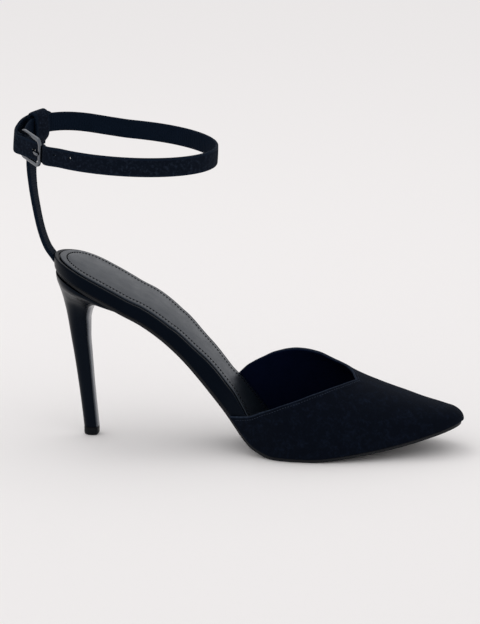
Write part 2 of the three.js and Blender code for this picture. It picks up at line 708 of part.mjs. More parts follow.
function ankleStrapGeometry() {
  const slot = strip(prongPath(), PRONG_THICKNESS + 2 * SEAM_GAP, PRONG_THICKNESS + 2 * SEAM_GAP);
  const nearHoles = [0, 1].map((step) => ringFrame(ringAngle(FIRST_HOLE + step * HOLE_SPACING)));
  const punches = nearHoles.map(({ point, out, travel, up }) => loft([-1, 1].map((side) => (
    Array.from({ length: 10 }, (_, i) => {
      const angle = (2 * Math.PI * i) / 10;
      return point.clone()
        .addScaledVector(out, side * STRAP_THICKNESS)
        .addScaledVector(travel, (Math.cos(angle) * HOLE_DIAMETER) / 2)
        .addScaledVector(up, HOLE_RAISE + (Math.sin(angle) * HOLE_DIAMETER) / 2);
    })
  ))));
  return cut(strip(anklePath(), STRAP_WIDTH, STRAP_THICKNESS), slot, ...punches);
}

// Buckle frame: a flat bar bent round a rectangle with round corners
function buckleGeometry() {
  const [w, h, r] = [
    (BUCKLE_LENGTH - BUCKLE_BAR_WIDTH) / 2, (BUCKLE_HEIGHT - BUCKLE_BAR_WIDTH) / 2, BUCKLE_CORNER,
  ];
  const corners = [[w - r, h - r, 0], [-w + r, h - r, 90], [-w + r, -h + r, 180], [w - r, -h + r, 270]];
  const rings = corners.flatMap(([x, y, start]) => [0, 30, 60, 90].map((turn) => {
    const angle = radians(start + turn);
    const [c, s] = [Math.cos(angle), Math.sin(angle)];
    const [bar, deep] = [BUCKLE_BAR_WIDTH / 2, barHalf];
    const section = [
      [-bar, -deep * 0.5], [-bar * 0.5, -deep], [bar * 0.5, -deep], [bar, -deep * 0.5],
      [bar, deep * 0.5], [bar * 0.5, deep], [-bar * 0.5, deep], [-bar, deep * 0.5],
    ];
    return section.map(([side, out]) => bucklePoint(
      x + c * (r + side), out, y + s * (r + side),
    ));
  }));
  return loft(rings, true);
}

// Back strap: from the slit in the footbed up to the sleeve that it forms over the ankle strap
const sleeveFrame = ringFrame(SLEEVE_ANGLE);
const sleeveTop = STRAP_WIDTH / 2 + SLEEVE_HEADROOM - sleeveRadius + BACK_THICKNESS / 2;

// A station in the sleeve's plane, where heading is the turn from straight up over the top
function sleeveStation(r, z, heading) {
  const angle = radians(heading);
  return {
    point: sleeveFrame.point.clone()
      .addScaledVector(sleeveFrame.out, r)
      .addScaledVector(sleeveFrame.up, z),
    wide: sleeveFrame.travel.clone(),
    out: sleeveFrame.out.clone().multiplyScalar(Math.cos(angle))
      .addScaledVector(sleeveFrame.up, Math.sin(angle)),
  };
}

// Rows from the footbed up: x is a share of BACK_BULGE behind the seat's end, z and side are
// shares of the way from the slit to the sleeve, twist is the turn of the strap's width
// towards the sleeve's, and lean is the slope in degrees
const BACK_ROWS = [
  { x: 0.11, z: -0.045, side: 0.00, twist: 0.00, lean: 32 },
  { x: -0.03, z: 0.000, side: 0.00, twist: 0.00, lean: 31 },
  { x: -0.29, z: 0.090, side: 0.02, twist: 0.00, lean: 25 },
  { x: -0.51, z: 0.230, side: 0.08, twist: 0.02, lean: 18 },
  { x: -0.69, z: 0.410, side: 0.22, twist: 0.06, lean: 12 },
  { x: -0.85, z: 0.620, side: 0.45, twist: 0.16, lean: 6 },
  { x: -0.92, z: 0.820, side: 0.74, twist: 0.42, lean: 2 },
];

function backPath(cutOff = BACK_ROWS.length) {
  const slit = new THREE.Vector3(0, middle(0), (footbedTop(0) + footbedBottom(0)) / 2 + 0.9);
  const start = sleeveStation(sleeveRadius, -STRAP_WIDTH / 2 - 5, 0);
  const straight = new THREE.Vector3(0, -1, 0);
  const low = BACK_ROWS.slice(0, cutOff).map((row) => {
    const wide = straight.clone().lerp(start.wide, row.twist).normalize();
    const lean = radians(row.lean);
    const climb = new THREE.Vector3(-Math.sin(lean), 0, Math.cos(lean));
    const out = wide.clone().cross(climb).normalize();
    const point = new THREE.Vector3(
      slit.x + row.x * BACK_BULGE,
      THREE.MathUtils.lerp(slit.y, start.point.y, row.side),
      THREE.MathUtils.lerp(slit.z, start.point.z, row.z),
    );
    return { point, wide: wide.cross(out).cross(out).negate(), out };
  });
  return { low, start };
}

function backStrapGeometry() {
  const { low, start } = backPath();
  const over = [];
  for (let turn = 0; turn <= 180; turn += 30) {
    const angle = radians(turn);
    over.push(sleeveStation(
      sleeveRadius * Math.cos(angle), sleeveTop + sleeveRadius * Math.sin(angle), turn,
    ));
  }
  const tuck = sleeveRadius - BACK_THICKNESS - SEAT_GAP;
  const down = [
    sleeveStation(-sleeveRadius, -STRAP_WIDTH / 2 + 1, 180),
    sleeveStation(-sleeveRadius * 0.75, -STRAP_WIDTH / 2 - 1.5, 160),
    sleeveStation(tuck - 0.3, -STRAP_WIDTH / 2 - 4.5, 160),
    sleeveStation(tuck, -STRAP_WIDTH / 2 - 6.5, 178),
  ];
  const path = [...low, start, ...over, ...down];
  return strip(path, BACK_WIDTH, BACK_THICKNESS);
}

function slitGeometry() {
  const { low } = backPath(4);
  const [first, second] = low;
  const deeper = first.point.clone().sub(second.point).normalize().multiplyScalar(SEAT_GAP);
  first.point.add(deeper);
  return strip(low, BACK_WIDTH + 2 * SEAT_GAP, BACK_THICKNESS + 2 * SEAT_GAP);
}

const shoe = new THREE.Group();

function add(name, geometry, color, roughness, metalness) {
  const finished = geometry.clone();
  finished.computeVertexNormals();
  const material = new THREE.MeshStandardMaterial({ color, roughness, metalness });
  const mesh = new THREE.Mesh(finished, material);
  mesh.name = name;
  shoe.add(mesh);
}

const LEATHER_BLACK = 0x14161c;
const SUEDE_BLACK = 0x0d1016;
const SOCK_GREY = 0x33363a;
const RUBBER_BLACK = 0x101012;
const STEEL = 0xc9ccd0;

add('outsole', outsole, RUBBER_BLACK, 0.6, 0);
add('footbed', cut(footbedBlank, rebate, slitGeometry()), LEATHER_BLACK, 0.45, 0);
add('insole_sock', sock, SOCK_GREY, 0.5, 0);
add('upper', upperGeometry(), SUEDE_BLACK, 0.95, 0);
add('heel', heelGeometry(), LEATHER_BLACK, 0.35, 0);
add('top_lift', liftGeometry(), RUBBER_BLACK, 0.6, 0);
add('back_strap', backStrapGeometry(), SUEDE_BLACK, 0.95, 0);
add('ankle_strap', ankleStrapGeometry(), SUEDE_BLACK, 0.95, 0);
add('buckle_frame', buckleGeometry(), STEEL, 0.2, 1);
add('buckle_prong', strip(prongPath(), PRONG_THICKNESS, PRONG_THICKNESS), STEEL, 0.2, 1);

// The origin is on the floor under the middle of the whole shoe
const bounds = new THREE.Box3().setFromObject(shoe);
const centre = bounds.getCenter(new THREE.Vector3());
shoe.position.set(-centre.x, -centre.y, 0);

export default shoe;
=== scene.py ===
import math

import bmesh
import bpy
import numpy as np
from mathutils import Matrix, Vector


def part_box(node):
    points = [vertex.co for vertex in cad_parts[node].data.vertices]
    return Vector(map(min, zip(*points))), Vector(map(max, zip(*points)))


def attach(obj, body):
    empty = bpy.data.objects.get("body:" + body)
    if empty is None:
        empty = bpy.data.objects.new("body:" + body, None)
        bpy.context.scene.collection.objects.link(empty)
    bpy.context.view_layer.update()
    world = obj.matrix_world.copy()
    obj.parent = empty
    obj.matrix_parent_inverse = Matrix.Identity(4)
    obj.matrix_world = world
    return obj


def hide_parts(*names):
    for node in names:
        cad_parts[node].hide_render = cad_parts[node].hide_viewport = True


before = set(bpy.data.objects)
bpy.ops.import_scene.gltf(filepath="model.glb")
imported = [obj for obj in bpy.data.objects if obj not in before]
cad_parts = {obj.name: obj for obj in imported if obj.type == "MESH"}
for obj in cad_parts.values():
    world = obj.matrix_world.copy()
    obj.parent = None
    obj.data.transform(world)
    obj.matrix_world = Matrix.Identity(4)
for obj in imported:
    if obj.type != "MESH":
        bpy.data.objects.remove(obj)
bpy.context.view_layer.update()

# Sizes in millimetres

SHOE_LENGTH = 230.5
SEAT_HEIGHT = 96.0
TOE_SPRING = 15.2
SEAT_WIDTH = 51.5
WAIST_WIDTH = 30.0
BALL_WIDTH = 71.2
SEAT_ROUND = 25.0
TOE_ROUND = 15.0
SEAT_GAP = 0.3
SEAM_GAP = 0.4
OUTSOLE_THICKNESS = 2.0
OUTSOLE_INSET = 1.4
FOOTBED_SEAT = 6.4
FOOTBED_SHANK = 9.6
FOOTBED_TOE = 3.0
FOOTBED_TOE_EASE = 1.6
SOCK_THICKNESS = 1.3
SOCK_MARGIN = 2.6
SOCK_RECESS = 0.8
UPPER_WALL = 1.6
INSTEP_HEIGHT = 59.0
TOE_CAP_ROUND = 8.5
RIDGE_SHIFT = 8.0
SIDE_FULLNESS = 2.35
HEEL_TIP_DEPTH = 8.4
HEEL_TIP_WIDTH = 8.4
HEEL_TIP_SET_IN = 15.5
HEEL_SEAT_LENGTH = 41.0
LIFT_HEIGHT = 4.6
LIFT_CHAMFER = 0.7
RING_LENGTH = 106.4
RING_WIDTH = 72.0
RING_X = 39.6
RING_Y = -8.0
RING_HEIGHT = 167.9
RING_DIP = 3.3
RING_ROLL = 4.3
RING_LIFT = 4.6
STRAP_WIDTH = 10.7
STRAP_THICKNESS = 1.8
FIRST_HOLE = 20.6
HOLE_SPACING = 10.2
HOLE_DIAMETER = 1.5
HOLE_RAISE = 1.4
BACK_WIDTH = 10.5
BACK_THICKNESS = 2.0
BACK_BULGE = 15.4
SLEEVE_ANGLE = 159
SLEEVE_HEADROOM = 1.2
SLEEVE_SLACK = 0.85
BUCKLE_ANGLE = 208
BUCKLE_LENGTH = 25.0
BUCKLE_HEIGHT = 16.6
BUCKLE_CORNER = 3.6
BUCKLE_BAR_DEPTH = 1.7
BUCKLE_BAR_WIDTH = 2.2
PRONG_THICKNESS = 1.5
PRONG_OVERHANG = 1.6
FOLD_TAIL = 6.5
END_STEP = 0.25

# Seams that only the surface shows
SOCK_GROOVE = 0.6
SOCK_STITCH_INSET = 4.5
SOCK_STITCH_LENGTH = 1.3
SOCK_STITCH_PITCH = 2.1
FOLD_WIDTH = 3.0
FOLD_HEIGHT = 0.12
TOPLINE_STITCH_INSET = 1.5
TOPLINE_STITCH_LENGTH = 1.0
TOPLINE_STITCH_PITCH = 1.6
SOCK_THREAD_THICKNESS = 0.8
TOPLINE_THREAD_THICKNESS = 0.3
RIB_PITCH = 1.45
RIB_DEPTH = 0.35


# Tables of shares

def table(names, rows):
    values = np.array(rows, float)
    return {name: values[:, i] for i, name in enumerate(names.split())}


UNDERSIDE = table("at rise spring", [
    (0.000, 1.000, 0.00), (0.038, 0.965, 0.00), (0.077, 0.922, 0.00), (0.129, 0.859, 0.00),
    (0.179, 0.796, 0.00), (0.227, 0.735, 0.00), (0.275, 0.650, 0.00), (0.323, 0.540, 0.00),
    (0.371, 0.405, 0.00), (0.419, 0.261, 0.00), (0.445, 0.187, 0.00), (0.474, 0.107, 0.00),
    (0.500, 0.051, 0.00), (0.525, 0.021, 0.00), (0.550, 0.003, 0.00), (0.570, 0.000, 0.00),
    (0.655, 0.000, 0.00), (0.710, 0.000, 0.08), (0.812, 0.000, 0.31), (0.884, 0.000, 0.53),
    (0.940, 0.000, 0.76), (1.000, 0.000, 1.00),
])
PLAN = table("at seat waist ball lean", [
    (0.000, 1.00, 0.00, 0.000, 0.000), (0.140, 1.00, 0.00, 0.000, 0.000),
    (0.200, 0.93, 0.07, 0.000, -0.004), (0.250, 0.84, 0.16, 0.000, 0.003),
    (0.300, 0.66, 0.34, 0.000, 0.002), (0.350, 0.41, 0.59, 0.000, -0.012),
    (0.400, 0.18, 0.82, 0.000, -0.039), (0.430, 0.10, 0.88, 0.020, -0.053),
    (0.465, 0.02, 0.79, 0.190, -0.060), (0.500, 0.00, 0.58, 0.420, -0.058),
    (0.535, 0.00, 0.36, 0.640, -0.044), (0.575, 0.00, 0.14, 0.860, -0.026),
    (0.620, 0.00, 0.03, 0.970, -0.007), (0.665, 0.00, 0.00, 1.000, 0.010),
    (0.715, 0.00, 0.00, 0.975, 0.027), (0.775, 0.00, 0.00, 0.880, 0.042),
    (0.835, 0.00, 0.00, 0.740, 0.054), (0.895, 0.00, 0.00, 0.580, 0.065),
    (0.945, 0.00, 0.00, 0.445, 0.072), (1.000, 0.00, 0.00, 0.320, 0.077),
])
FOOTBED = table("at seat shank toe", [
    (0.00, 1.00, 0.00, 0.00), (0.23, 0.80, 0.15, 0.00), (0.30, 0.00, 0.66, 0.00),
    (0.35, 0.00, 0.71, 0.00), (0.38, 0.00, 0.83, 0.00), (0.42, 0.00, 0.94, 0.00),
    (0.455, 0.00, 1.00, 0.00), (0.475, 0.00, 1.00, 0.00), (0.50, 0.00, 0.82, 0.12),
    (0.53, 0.00, 0.52, 0.30), (0.64, 0.00, 0.15, 0.80), (0.80, 0.00, 0.00, 1.00),
    (1.00, 0.00, 0.00, 1.00),
])
ROOF = table("at height ridge", [
    (0.40, 0.84, 1.00), (0.44, 0.89, 1.00), (0.49, 0.97, 1.00), (0.53, 1.00, 1.00),
    (0.58, 0.955, 1.00), (0.63, 0.86, 0.98), (0.68, 0.735, 0.85), (0.735, 0.600, 0.65),
    (0.79, 0.490, 0.50), (0.855, 0.370, 0.33), (0.92, 0.238, 0.15), (0.965, 0.155, 0.05),
    (1.00, 0.115, 0.00),
])
OUTER_TOPLINE = table("at along", [
    (0.000, 0.4480), (0.050, 0.4770), (0.086, 0.5020), (0.117, 0.5270), (0.143, 0.5520),
    (0.164, 0.5760), (0.186, 0.6010), (0.211, 0.6240), (0.246, 0.6490), (0.293, 0.6775),
    (0.358, 0.7090), (0.414, 0.7285), (0.460, 0.7420),
])
INNER_TOPLINE = table("at along", [
    (0.460, 0.7420), (0.490, 0.7340), (0.521, 0.7255), (0.565, 0.7110), (0.603, 0.6930),
    (0.632, 0.6690), (0.648, 0.6430), (0.668, 0.6180), (0.687, 0.5910), (0.699, 0.5710),
    (0.712, 0.5540), (0.733, 0.5360), (0.761, 0.5130), (0.801, 0.4900), (0.850, 0.4670),
    (0.895, 0.4510), (0.935, 0.4380), (1.000, 0.4200),
])
HEEL_RINGS = table("at back front low high width", [
    (0, 0.000, 0.000, 0.050, 0.050, 0.000), (1, 0.030, -0.030, 0.182, 0.168, 0.000),
    (2, 0.070, -0.060, 0.330, 0.306, 0.006), (3, 0.120, -0.085, 0.479, 0.460, 0.020),
    (4, 0.170, -0.105, 0.594, 0.594, 0.052), (5, 0.217, -0.105, 0.703, 0.724, 0.120),
    (6, 0.260, -0.060, 0.772, 0.818, 0.245), (7, 0.290, 0.010, 0.804, 0.875, 0.400),
    (8, 0.320, 0.112, 0.816, 0.922, 0.560), (9, 0.345, 0.234, 0.809, 0.958, 0.690),
    (10, 0.358, 0.368, 0.792, 0.998, 0.765), (11, 0.360, 0.515, 0.764, 1.083, 0.780),
])
RING_RISE = table("at lift", [
    (0.000, 0.00), (0.250, 0.00), (0.290, 0.22), (0.340, 0.72), (0.380, 0.96), (0.425, 1.00),
    (0.460, 0.88), (0.500, 0.46), (0.545, 0.10), (0.590, 0.00), (1.000, 0.00),
])
TAIL_ROWS = table("along out", [
    (-21, 1.06), (-30, 1.00), (-40, 1.00), (-50, 1.00), (-60, 1.00), (-68, 1.00),
])
BACK_ROWS = table("x z side twist lean", [
    (0.11, -0.045, 0.00, 0.00, 32), (-0.03, 0.000, 0.00, 0.00, 31),
    (-0.29, 0.090, 0.02, 0.00, 25), (-0.51, 0.230, 0.08, 0.02, 18),
    (-0.69, 0.410, 0.22, 0.06, 12), (-0.85, 0.620, 0.45, 0.16, 6),
    (-0.92, 0.820, 0.74, 0.42, 2),
])


# Curves through the tables

def smooth_curve(at, value):
    """A smooth curve through points of a table; two equal values in a row stay level."""
    at, value = np.asarray(at, float), np.asarray(value, float)
    slope = np.empty_like(value)
    slope[1:-1] = (value[2:] - value[:-2]) / (at[2:] - at[:-2])
    slope[0] = (value[1] - value[0]) / (at[1] - at[0])
    slope[-1] = (value[-1] - value[-2]) / (at[-1] - at[-2])

    def evaluate(where):
        where = np.asarray(where, float)
        i = np.clip(np.searchsorted(at, where, side="left") - 1, 0, len(at) - 2)
        span = at[i + 1] - at[i]
        t = np.clip((where - at[i]) / span, 0, 1)
        level = value[i] == value[i + 1]
        a = np.where(level, 0, slope[i] * span)
        b = np.where(level, 0, slope[i + 1] * span)
        return ((2 * t**3 - 3 * t**2 + 1) * value[i] + (t**3 - 2 * t**2 + t) * a
                + (3 * t**2 - 2 * t**3) * value[i + 1] + (t**3 - t**2) * b)

    return evaluate


def weighed(rows, **sizes):
    curves = [(smooth_curve(rows["at"], rows[name]), size) for name, size in sizes.items()]
    return lambda at: sum(curve(at) * size for curve, size in curves)


underside_at = weighed(UNDERSIDE, rise=SEAT_HEIGHT, spring=TOE_SPRING)
plan_at = weighed(PLAN, seat=SEAT_WIDTH / 2, waist=WAIST_WIDTH / 2, ball=BALL_WIDTH / 2)
lean_at = weighed(PLAN, lean=BALL_WIDTH)
footbed_at = weighed(FOOTBED, seat=FOOTBED_SEAT, shank=FOOTBED_SHANK, toe=FOOTBED_TOE)
roof_at = weighed(ROOF, height=INSTEP_HEIGHT)
ridge_at = weighed(ROOF, ridge=RIDGE_SHIFT)
ring_lift = weighed(RING_RISE, lift=RING_LIFT)


def smoothstep(value, low, high):
    t = np.clip((value - low) / (high - low), 0, 1)
    return t * t * (3 - 2 * t)


def rounded(distance, radius):
    t = np.clip(1 - distance / radius, 0, 1)
    return np.sqrt(1 - t * t)


def underside(x):
    return underside_at(np.asarray(x, float) / SHOE_LENGTH)


def upright(x, thickness):
    rise = underside(x + 0.5) - underside(x - 0.5)
    return thickness * np.hypot(1, rise)


def outsole_top(x):
    return underside(x) + upright(x, OUTSOLE_THICKNESS)


def footbed_bottom(x):
    return outsole_top(x) + SEAT_GAP


def footbed_top(x):
    return footbed_bottom(x) + upright(x, footbed_at(x / SHOE_LENGTH))


def sock_bottom(x):
    return footbed_top(x) - SOCK_RECESS + SEAT_GAP


def sock_top(x):
    return sock_bottom(x) + SOCK_THICKNESS


def middle(x):
    return lean_at(np.asarray(x, float) / SHOE_LENGTH)


def half_width(x, inset, heel_end, toe_end):
    width = np.maximum(plan_at(x / SHOE_LENGTH) - inset, 0.02)
    return width * rounded(x - heel_end, SEAT_ROUND - heel_end) * rounded(toe_end - x, TOE_ROUND)


UPPER_SPREAD = SEAM_GAP + UPPER_WALL
OUTSOLE_END = SHOE_LENGTH - OUTSOLE_INSET
FOOTBED_END = SHOE_LENGTH - UPPER_SPREAD - FOOTBED_TOE_EASE - FOOTBED_TOE
SOCK_END = FOOTBED_END - SOCK_MARGIN
COVER_START = INNER_TOPLINE["along"][-1] * SHOE_LENGTH
COVER_END = OUTER_TOPLINE["along"][2] * SHOE_LENGTH


def outsole_half(x, inset):
    cover = smoothstep(x, COVER_START, COVER_END) * UPPER_SPREAD
    return half_width(x, OUTSOLE_INSET - cover + inset, OUTSOLE_INSET + inset, OUTSOLE_END - inset)


def footbed_half(x, inset):
    ease = smoothstep(x, SHOE_LENGTH * 0.8, SHOE_LENGTH) * FOOTBED_TOE_EASE
    return half_width(x, ease + inset, inset, FOOTBED_END - inset)


def sock_half(x, inset):
    return half_width(x, SOCK_MARGIN + inset, SOCK_MARGIN + inset, SOCK_END - inset)


# Place of the whole shoe: the solids stand over the middle of their own box

BED_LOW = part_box("footbed")[0]
LIFT_LOW, LIFT_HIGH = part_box("top_lift")
SHIFT = np.array([
    BED_LOW[0] - END_STEP / 1000,
    (LIFT_LOW[1] + LIFT_HIGH[1]) / 2,
    0.0,
])


def placed(points):
    return np.asarray(points, float) / 1000 + SHIFT


def make_piece(name, points, faces, materials, slots=None, sharp=38.0, along=None):
    """A closed mesh in metres from points in millimetres, with smooth and sharp edges. along
    is a coordinate of every point that a pattern can follow."""
    mesh = bpy.data.meshes.new(name)
    mesh.from_pydata(placed(points).tolist(), [], faces)
    if along is not None:
        corner = np.empty(len(mesh.loops), np.int32)
        mesh.loops.foreach_get("vertex_index", corner)
        uv = np.zeros((len(corner), 2))
        uv[:, 0] = np.asarray(along)[corner]
        mesh.uv_layers.new(name="along").data.foreach_set("uv", uv.ravel())
    for material in materials:
        mesh.materials.append(material)
    if slots is not None:
        mesh.polygons.foreach_set("material_index", np.asarray(slots, np.int32))
    weld(mesh)
    mesh.shade_smooth()
    mesh.set_sharp_from_angle(angle=math.radians(sharp))
    piece = bpy.data.objects.new(name, mesh)
    bpy.context.scene.collection.objects.link(piece)
    return piece


def weld(mesh):
    form = bmesh.new()
    form.from_mesh(mesh)
    bmesh.ops.remove_doubles(form, verts=form.verts, dist=2e-6)
    bmesh.ops.dissolve_degenerate(form, edges=form.edges, dist=1e-6)
    bmesh.ops.recalc_face_normals(form, faces=form.faces)
    form.to_mesh(mesh)
    form.free()
    mesh.update()


def skin(rings, ends=True):
    """Quads over rings of equal point counts; the ring number of each face comes with it."""
    count, size = rings.shape[:2]
    i, j = np.meshgrid(np.arange(count - 1), np.arange(size), indexing="ij")
    k = (j + 1) % size
    quads = np.stack([i * size + j, i * size + k, (i + 1) * size + k, (i + 1) * size + j], -1)
    faces = quads.reshape(-1, 4).tolist()
    where = np.stack([i, j], -1).reshape(-1, 2).tolist()
    if ends:
        faces.append(list(range(size)))
        faces.append(list(range((count - 1) * size, count * size)))
        where += [[0, -1], [count - 1, -1]]
    return rings.reshape(-1, 3), faces, where


def subtract(piece, *cutters):
    """Cuts the cutters out of a piece and leaves its plain mesh."""
    for cutter in cutters:
        change = piece.modifiers.new("cut", "BOOLEAN")
        change.operation = "DIFFERENCE"
        change.solver = "EXACT"
        change.object = cutter
    bpy.context.view_layer.update()
    evaluated = piece.evaluated_get(bpy.context.evaluated_depsgraph_get())
    mesh = bpy.data.meshes.new_from_object(evaluated)
    piece.modifiers.clear()
    old = piece.data
    piece.data = mesh
    name = old.name
    bpy.data.meshes.remove(old)
    mesh.name = name
    for cutter in cutters:
        spare = cutter.data
        bpy.data.objects.remove(cutter)
        bpy.data.meshes.remove(spare)
    mesh.shade_smooth()
    mesh.set_sharp_from_angle(angle=math.radians(38))


# Materials

def linear(text):
    """Linear colour of an sRGB hex value."""
    parts = [int(text[i:i + 2], 16) / 255 for i in (0, 2, 4)]
    return [c / 12.92 if c <= 0.04045 else ((c + 0.055) / 1.055) ** 2.4 for c in parts] + [1.0]


def per(millimetres):
    """Scale of a pattern on Object coordinates whose features are this size."""
    return 1000.0 / millimetres


def add_node(tree, kind, settings=None, **inputs):
    """Adds a node; an input is a socket to link from or a constant to set."""
    item = tree.nodes.new(kind)
    for key, value in (settings or {}).items():
        setattr(item, key, value)
    for key, value in inputs.items():
        name = int(key[1:]) if key[1:].isdigit() else key.replace("_", " ")
        socket = item.inputs[name]
        if isinstance(value, bpy.types.NodeSocket):
            tree.links.new(value, socket)
        else:
            socket.default_value = value
    return item


def new_material(name):
    material = bpy.data.materials.new(name)
    material.use_nodes = True
    tree = material.node_tree
    return material, tree, tree.nodes["Principled BSDF"]


def set_shader(shader, **values):
    for key, value in values.items():
        shader.inputs[key.replace("_", " ")].default_value = value


def suede(name, dark, light, nap=0.45, patch=5.0, relief=0.12):
    """Brushed suede: a soft mat of cut fibres, matt, with lighter and darker brushed patches."""
    material, tree, shader = new_material(name)
    place = add_node(tree, "ShaderNodeTexCoord").outputs["Object"]
    fibre = add_node(tree, "ShaderNodeTexNoise", Vector=place, Scale=per(nap), Detail=4.0,
                     Roughness=0.65)
    brushed = add_node(tree, "ShaderNodeTexNoise", Vector=place, Scale=per(patch), Detail=3.0,
                       Roughness=0.6, Distortion=0.6)
    speck = add_node(tree, "ShaderNodeTexNoise", Vector=place, Scale=per(1.5), Detail=4.0,
                     Roughness=0.7)
    both = add_node(tree, "ShaderNodeMath", {"operation": "MULTIPLY"},
                    _0=brushed.outputs["Fac"], _1=speck.outputs["Fac"])
    spread = add_node(tree, "ShaderNodeMapRange", Value=both.outputs[0], From_Min=0.24,
                      From_Max=0.44)
    colour = add_node(tree, "ShaderNodeMix", {"data_type": "RGBA"}, Factor=spread.outputs[0],
                      _6=linear(dark), _7=linear(light))
    bump = add_node(tree, "ShaderNodeBump", Strength=relief * 2.2, Distance=0.0004,
                    Height=fibre.outputs["Fac"])
    swell = add_node(tree, "ShaderNodeBump", Strength=0.12, Distance=0.0008,
                     Height=speck.outputs["Fac"], Normal=bump.outputs[0])
    tree.links.new(colour.outputs[2], shader.inputs["Base Color"])
    tree.links.new(swell.outputs[0], shader.inputs["Normal"])
    set_shader(shader, Roughness=1.0, Specular_IOR_Level=0.05, Sheen_Weight=0.05,
               Sheen_Roughness=0.5, Sheen_Tint=linear("7d8aa0"))
    return material


def finished_leather(name, dark, light, grain, relief, gloss, shine, ribs=0.0):
    """Dyed leather under a clear finish: fine pores, an even colour and a soft gloss. Ribs
    are pressed across a strap, one for each whole number of its own length coordinate."""
    material, tree, shader = new_material(name)
    place = add_node(tree, "ShaderNodeTexCoord").outputs["Object"]
    pores = add_node(tree, "ShaderNodeTexVoronoi", {"feature": "SMOOTH_F1"}, Vector=place,
                     Scale=per(grain), Smoothness=0.7)
    wave = add_node(tree, "ShaderNodeTexNoise", Vector=place, Scale=per(7.0), Detail=3.0,
                    Roughness=0.55)
    colour = add_node(tree, "ShaderNodeMix", {"data_type": "RGBA"}, Factor=wave.outputs["Fac"],
                      _6=linear(dark), _7=linear(light))
    rough = add_node(tree, "ShaderNodeMapRange", Value=wave.outputs["Fac"], From_Min=0.3,
                     From_Max=0.7, To_Min=gloss - 0.04, To_Max=gloss + 0.05)
    fine = add_node(tree, "ShaderNodeBump", Strength=relief, Distance=0.0002,
                    Height=pores.outputs["Distance"])
    soft = add_node(tree, "ShaderNodeBump", Strength=0.10, Distance=0.0006,
                    Height=wave.outputs["Fac"], Normal=fine.outputs[0])
    last = soft
    if ribs:
        length = add_node(tree, "ShaderNodeUVMap", {"uv_map": "along"})
        press = add_node(tree, "ShaderNodeTexWave", Vector=length.outputs[0],
                         Scale=math.pi / 10, Distortion=0.0)
        last = add_node(tree, "ShaderNodeBump", Strength=0.8, Distance=ribs / 1000,
                        Height=press.outputs["Fac"], Normal=soft.outputs[0])
    tree.links.new(colour.outputs[2], shader.inputs["Base Color"])
    tree.links.new(rough.outputs[0], shader.inputs["Roughness"])
    tree.links.new(last.outputs[0], shader.inputs["Normal"])
    set_shader(shader, Specular_IOR_Level=shine, Specular_Tint=linear("b9cbe6"))
    return material


def moulded_rubber(name, dark, light, shine=0.12):
    """Moulded rubber: matt, faintly mottled, with a fine ground texture."""
    material, tree, shader = new_material(name)
    place = add_node(tree, "ShaderNodeTexCoord").outputs["Object"]
    ground = add_node(tree, "ShaderNodeTexNoise", Vector=place, Scale=per(1.2), Detail=5.0,
                      Roughness=0.6)
    colour = add_node(tree, "ShaderNodeMix", {"data_type": "RGBA"}, Factor=ground.outputs["Fac"],
                      _6=linear(dark), _7=linear(light))
    bump = add_node(tree, "ShaderNodeBump", Strength=0.15, Distance=0.0002,
                    Height=ground.outputs["Fac"])
    tree.links.new(colour.outputs[2], shader.inputs["Base Color"])
    tree.links.new(bump.outputs[0], shader.inputs["Normal"])
    set_shader(shader, Roughness=0.5, Specular_IOR_Level=shine)
    return material


def polished_nickel(name):
    """Polished nickel plate on zinc: it mirrors the studio darkly, with hairline scratches."""
    material, tree, shader = new_material(name)
    place = add_node(tree, "ShaderNodeTexCoord").outputs["Object"]
    hair = add_node(tree, "ShaderNodeTexNoise", Vector=place, Scale=per(0.8), Detail=6.0,
                    Roughness=0.7, Distortion=1.5)
    rough = add_node(tree, "ShaderNodeMapRange", Value=hair.outputs["Fac"], From_Min=0.35,
                     From_Max=0.7, To_Min=0.10, To_Max=0.24)
    bump = add_node(tree, "ShaderNodeBump", Strength=0.04, Distance=0.0002,
                    Height=hair.outputs["Fac"])
    tree.links.new(rough.outputs[0], shader.inputs["Roughness"])
    tree.links.new(bump.outputs[0], shader.inputs["Normal"])
    set_shader(shader, Base_Color=linear("5c6066"), Metallic=1.0)
    return material


def thread(name, colour):
    """Bonded nylon thread: smooth, tight and a little shiny."""
    material, tree, shader = new_material(name)
    place = add_node(tree, "ShaderNodeTexCoord").outputs["Object"]
    ply = add_node(tree, "ShaderNodeTexNoise", Vector=place, Scale=per(0.5), Detail=2.0)
    bump = add_node(tree, "ShaderNodeBump", Strength=0.3, Distance=0.0001,
                    Height=ply.outputs["Fac"])
    tree.links.new(bump.outputs[0], shader.inputs["Normal"])
    set_shader(shader, Base_Color=linear(colour), Roughness=0.6, Specular_IOR_Level=0.05)
    return material


SUEDE = suede("brushed_kid_suede", "060a13", "0e1522")
STRAP_SUEDE = suede("napped_strap_suede", "0a101a", "1f2734", nap=0.4, patch=1.6, relief=0.3)
LINING = finished_leather("smooth_lining_leather", "020618", "050b20", 0.9, 0.10, 0.7, 0.05)
STRAP_LINING = finished_leather("strap_lining_leather", "0a121d", "101926",
                                0.8, 0.2, 0.7, 0.03, RIB_DEPTH)
STRAP_EDGE = finished_leather("painted_strap_edge", "0c141f", "131c29", 0.7, 0.3, 0.6, 0.03)
WRAP = finished_leather("glazed_wrap_leather", "01040b", "030811", 0.8, 0.10, 0.36, 0.07)
HEEL_LEATHER = finished_leather("glazed_heel_leather", "01040b", "030810", 0.8, 0.05, 0.30, 0.12)
# Painted reflection: the breast's light grey colour stands in for the studio light its flat face
# reflects
BREAST_PAINTED_REFLECTION = finished_leather("breast_leather_painted_reflection", "34373a", "3e4041", 0.8, 0.04, 0.22, 0.9)
SOCK_LEATHER = finished_leather("coated_sock_leather", "05090d", "0a0f14", 0.7, 0.12, 0.36, 0.5)
SOLE_RUBBER = moulded_rubber("moulded_sole_rubber", "05080e", "090d14", 0.25)
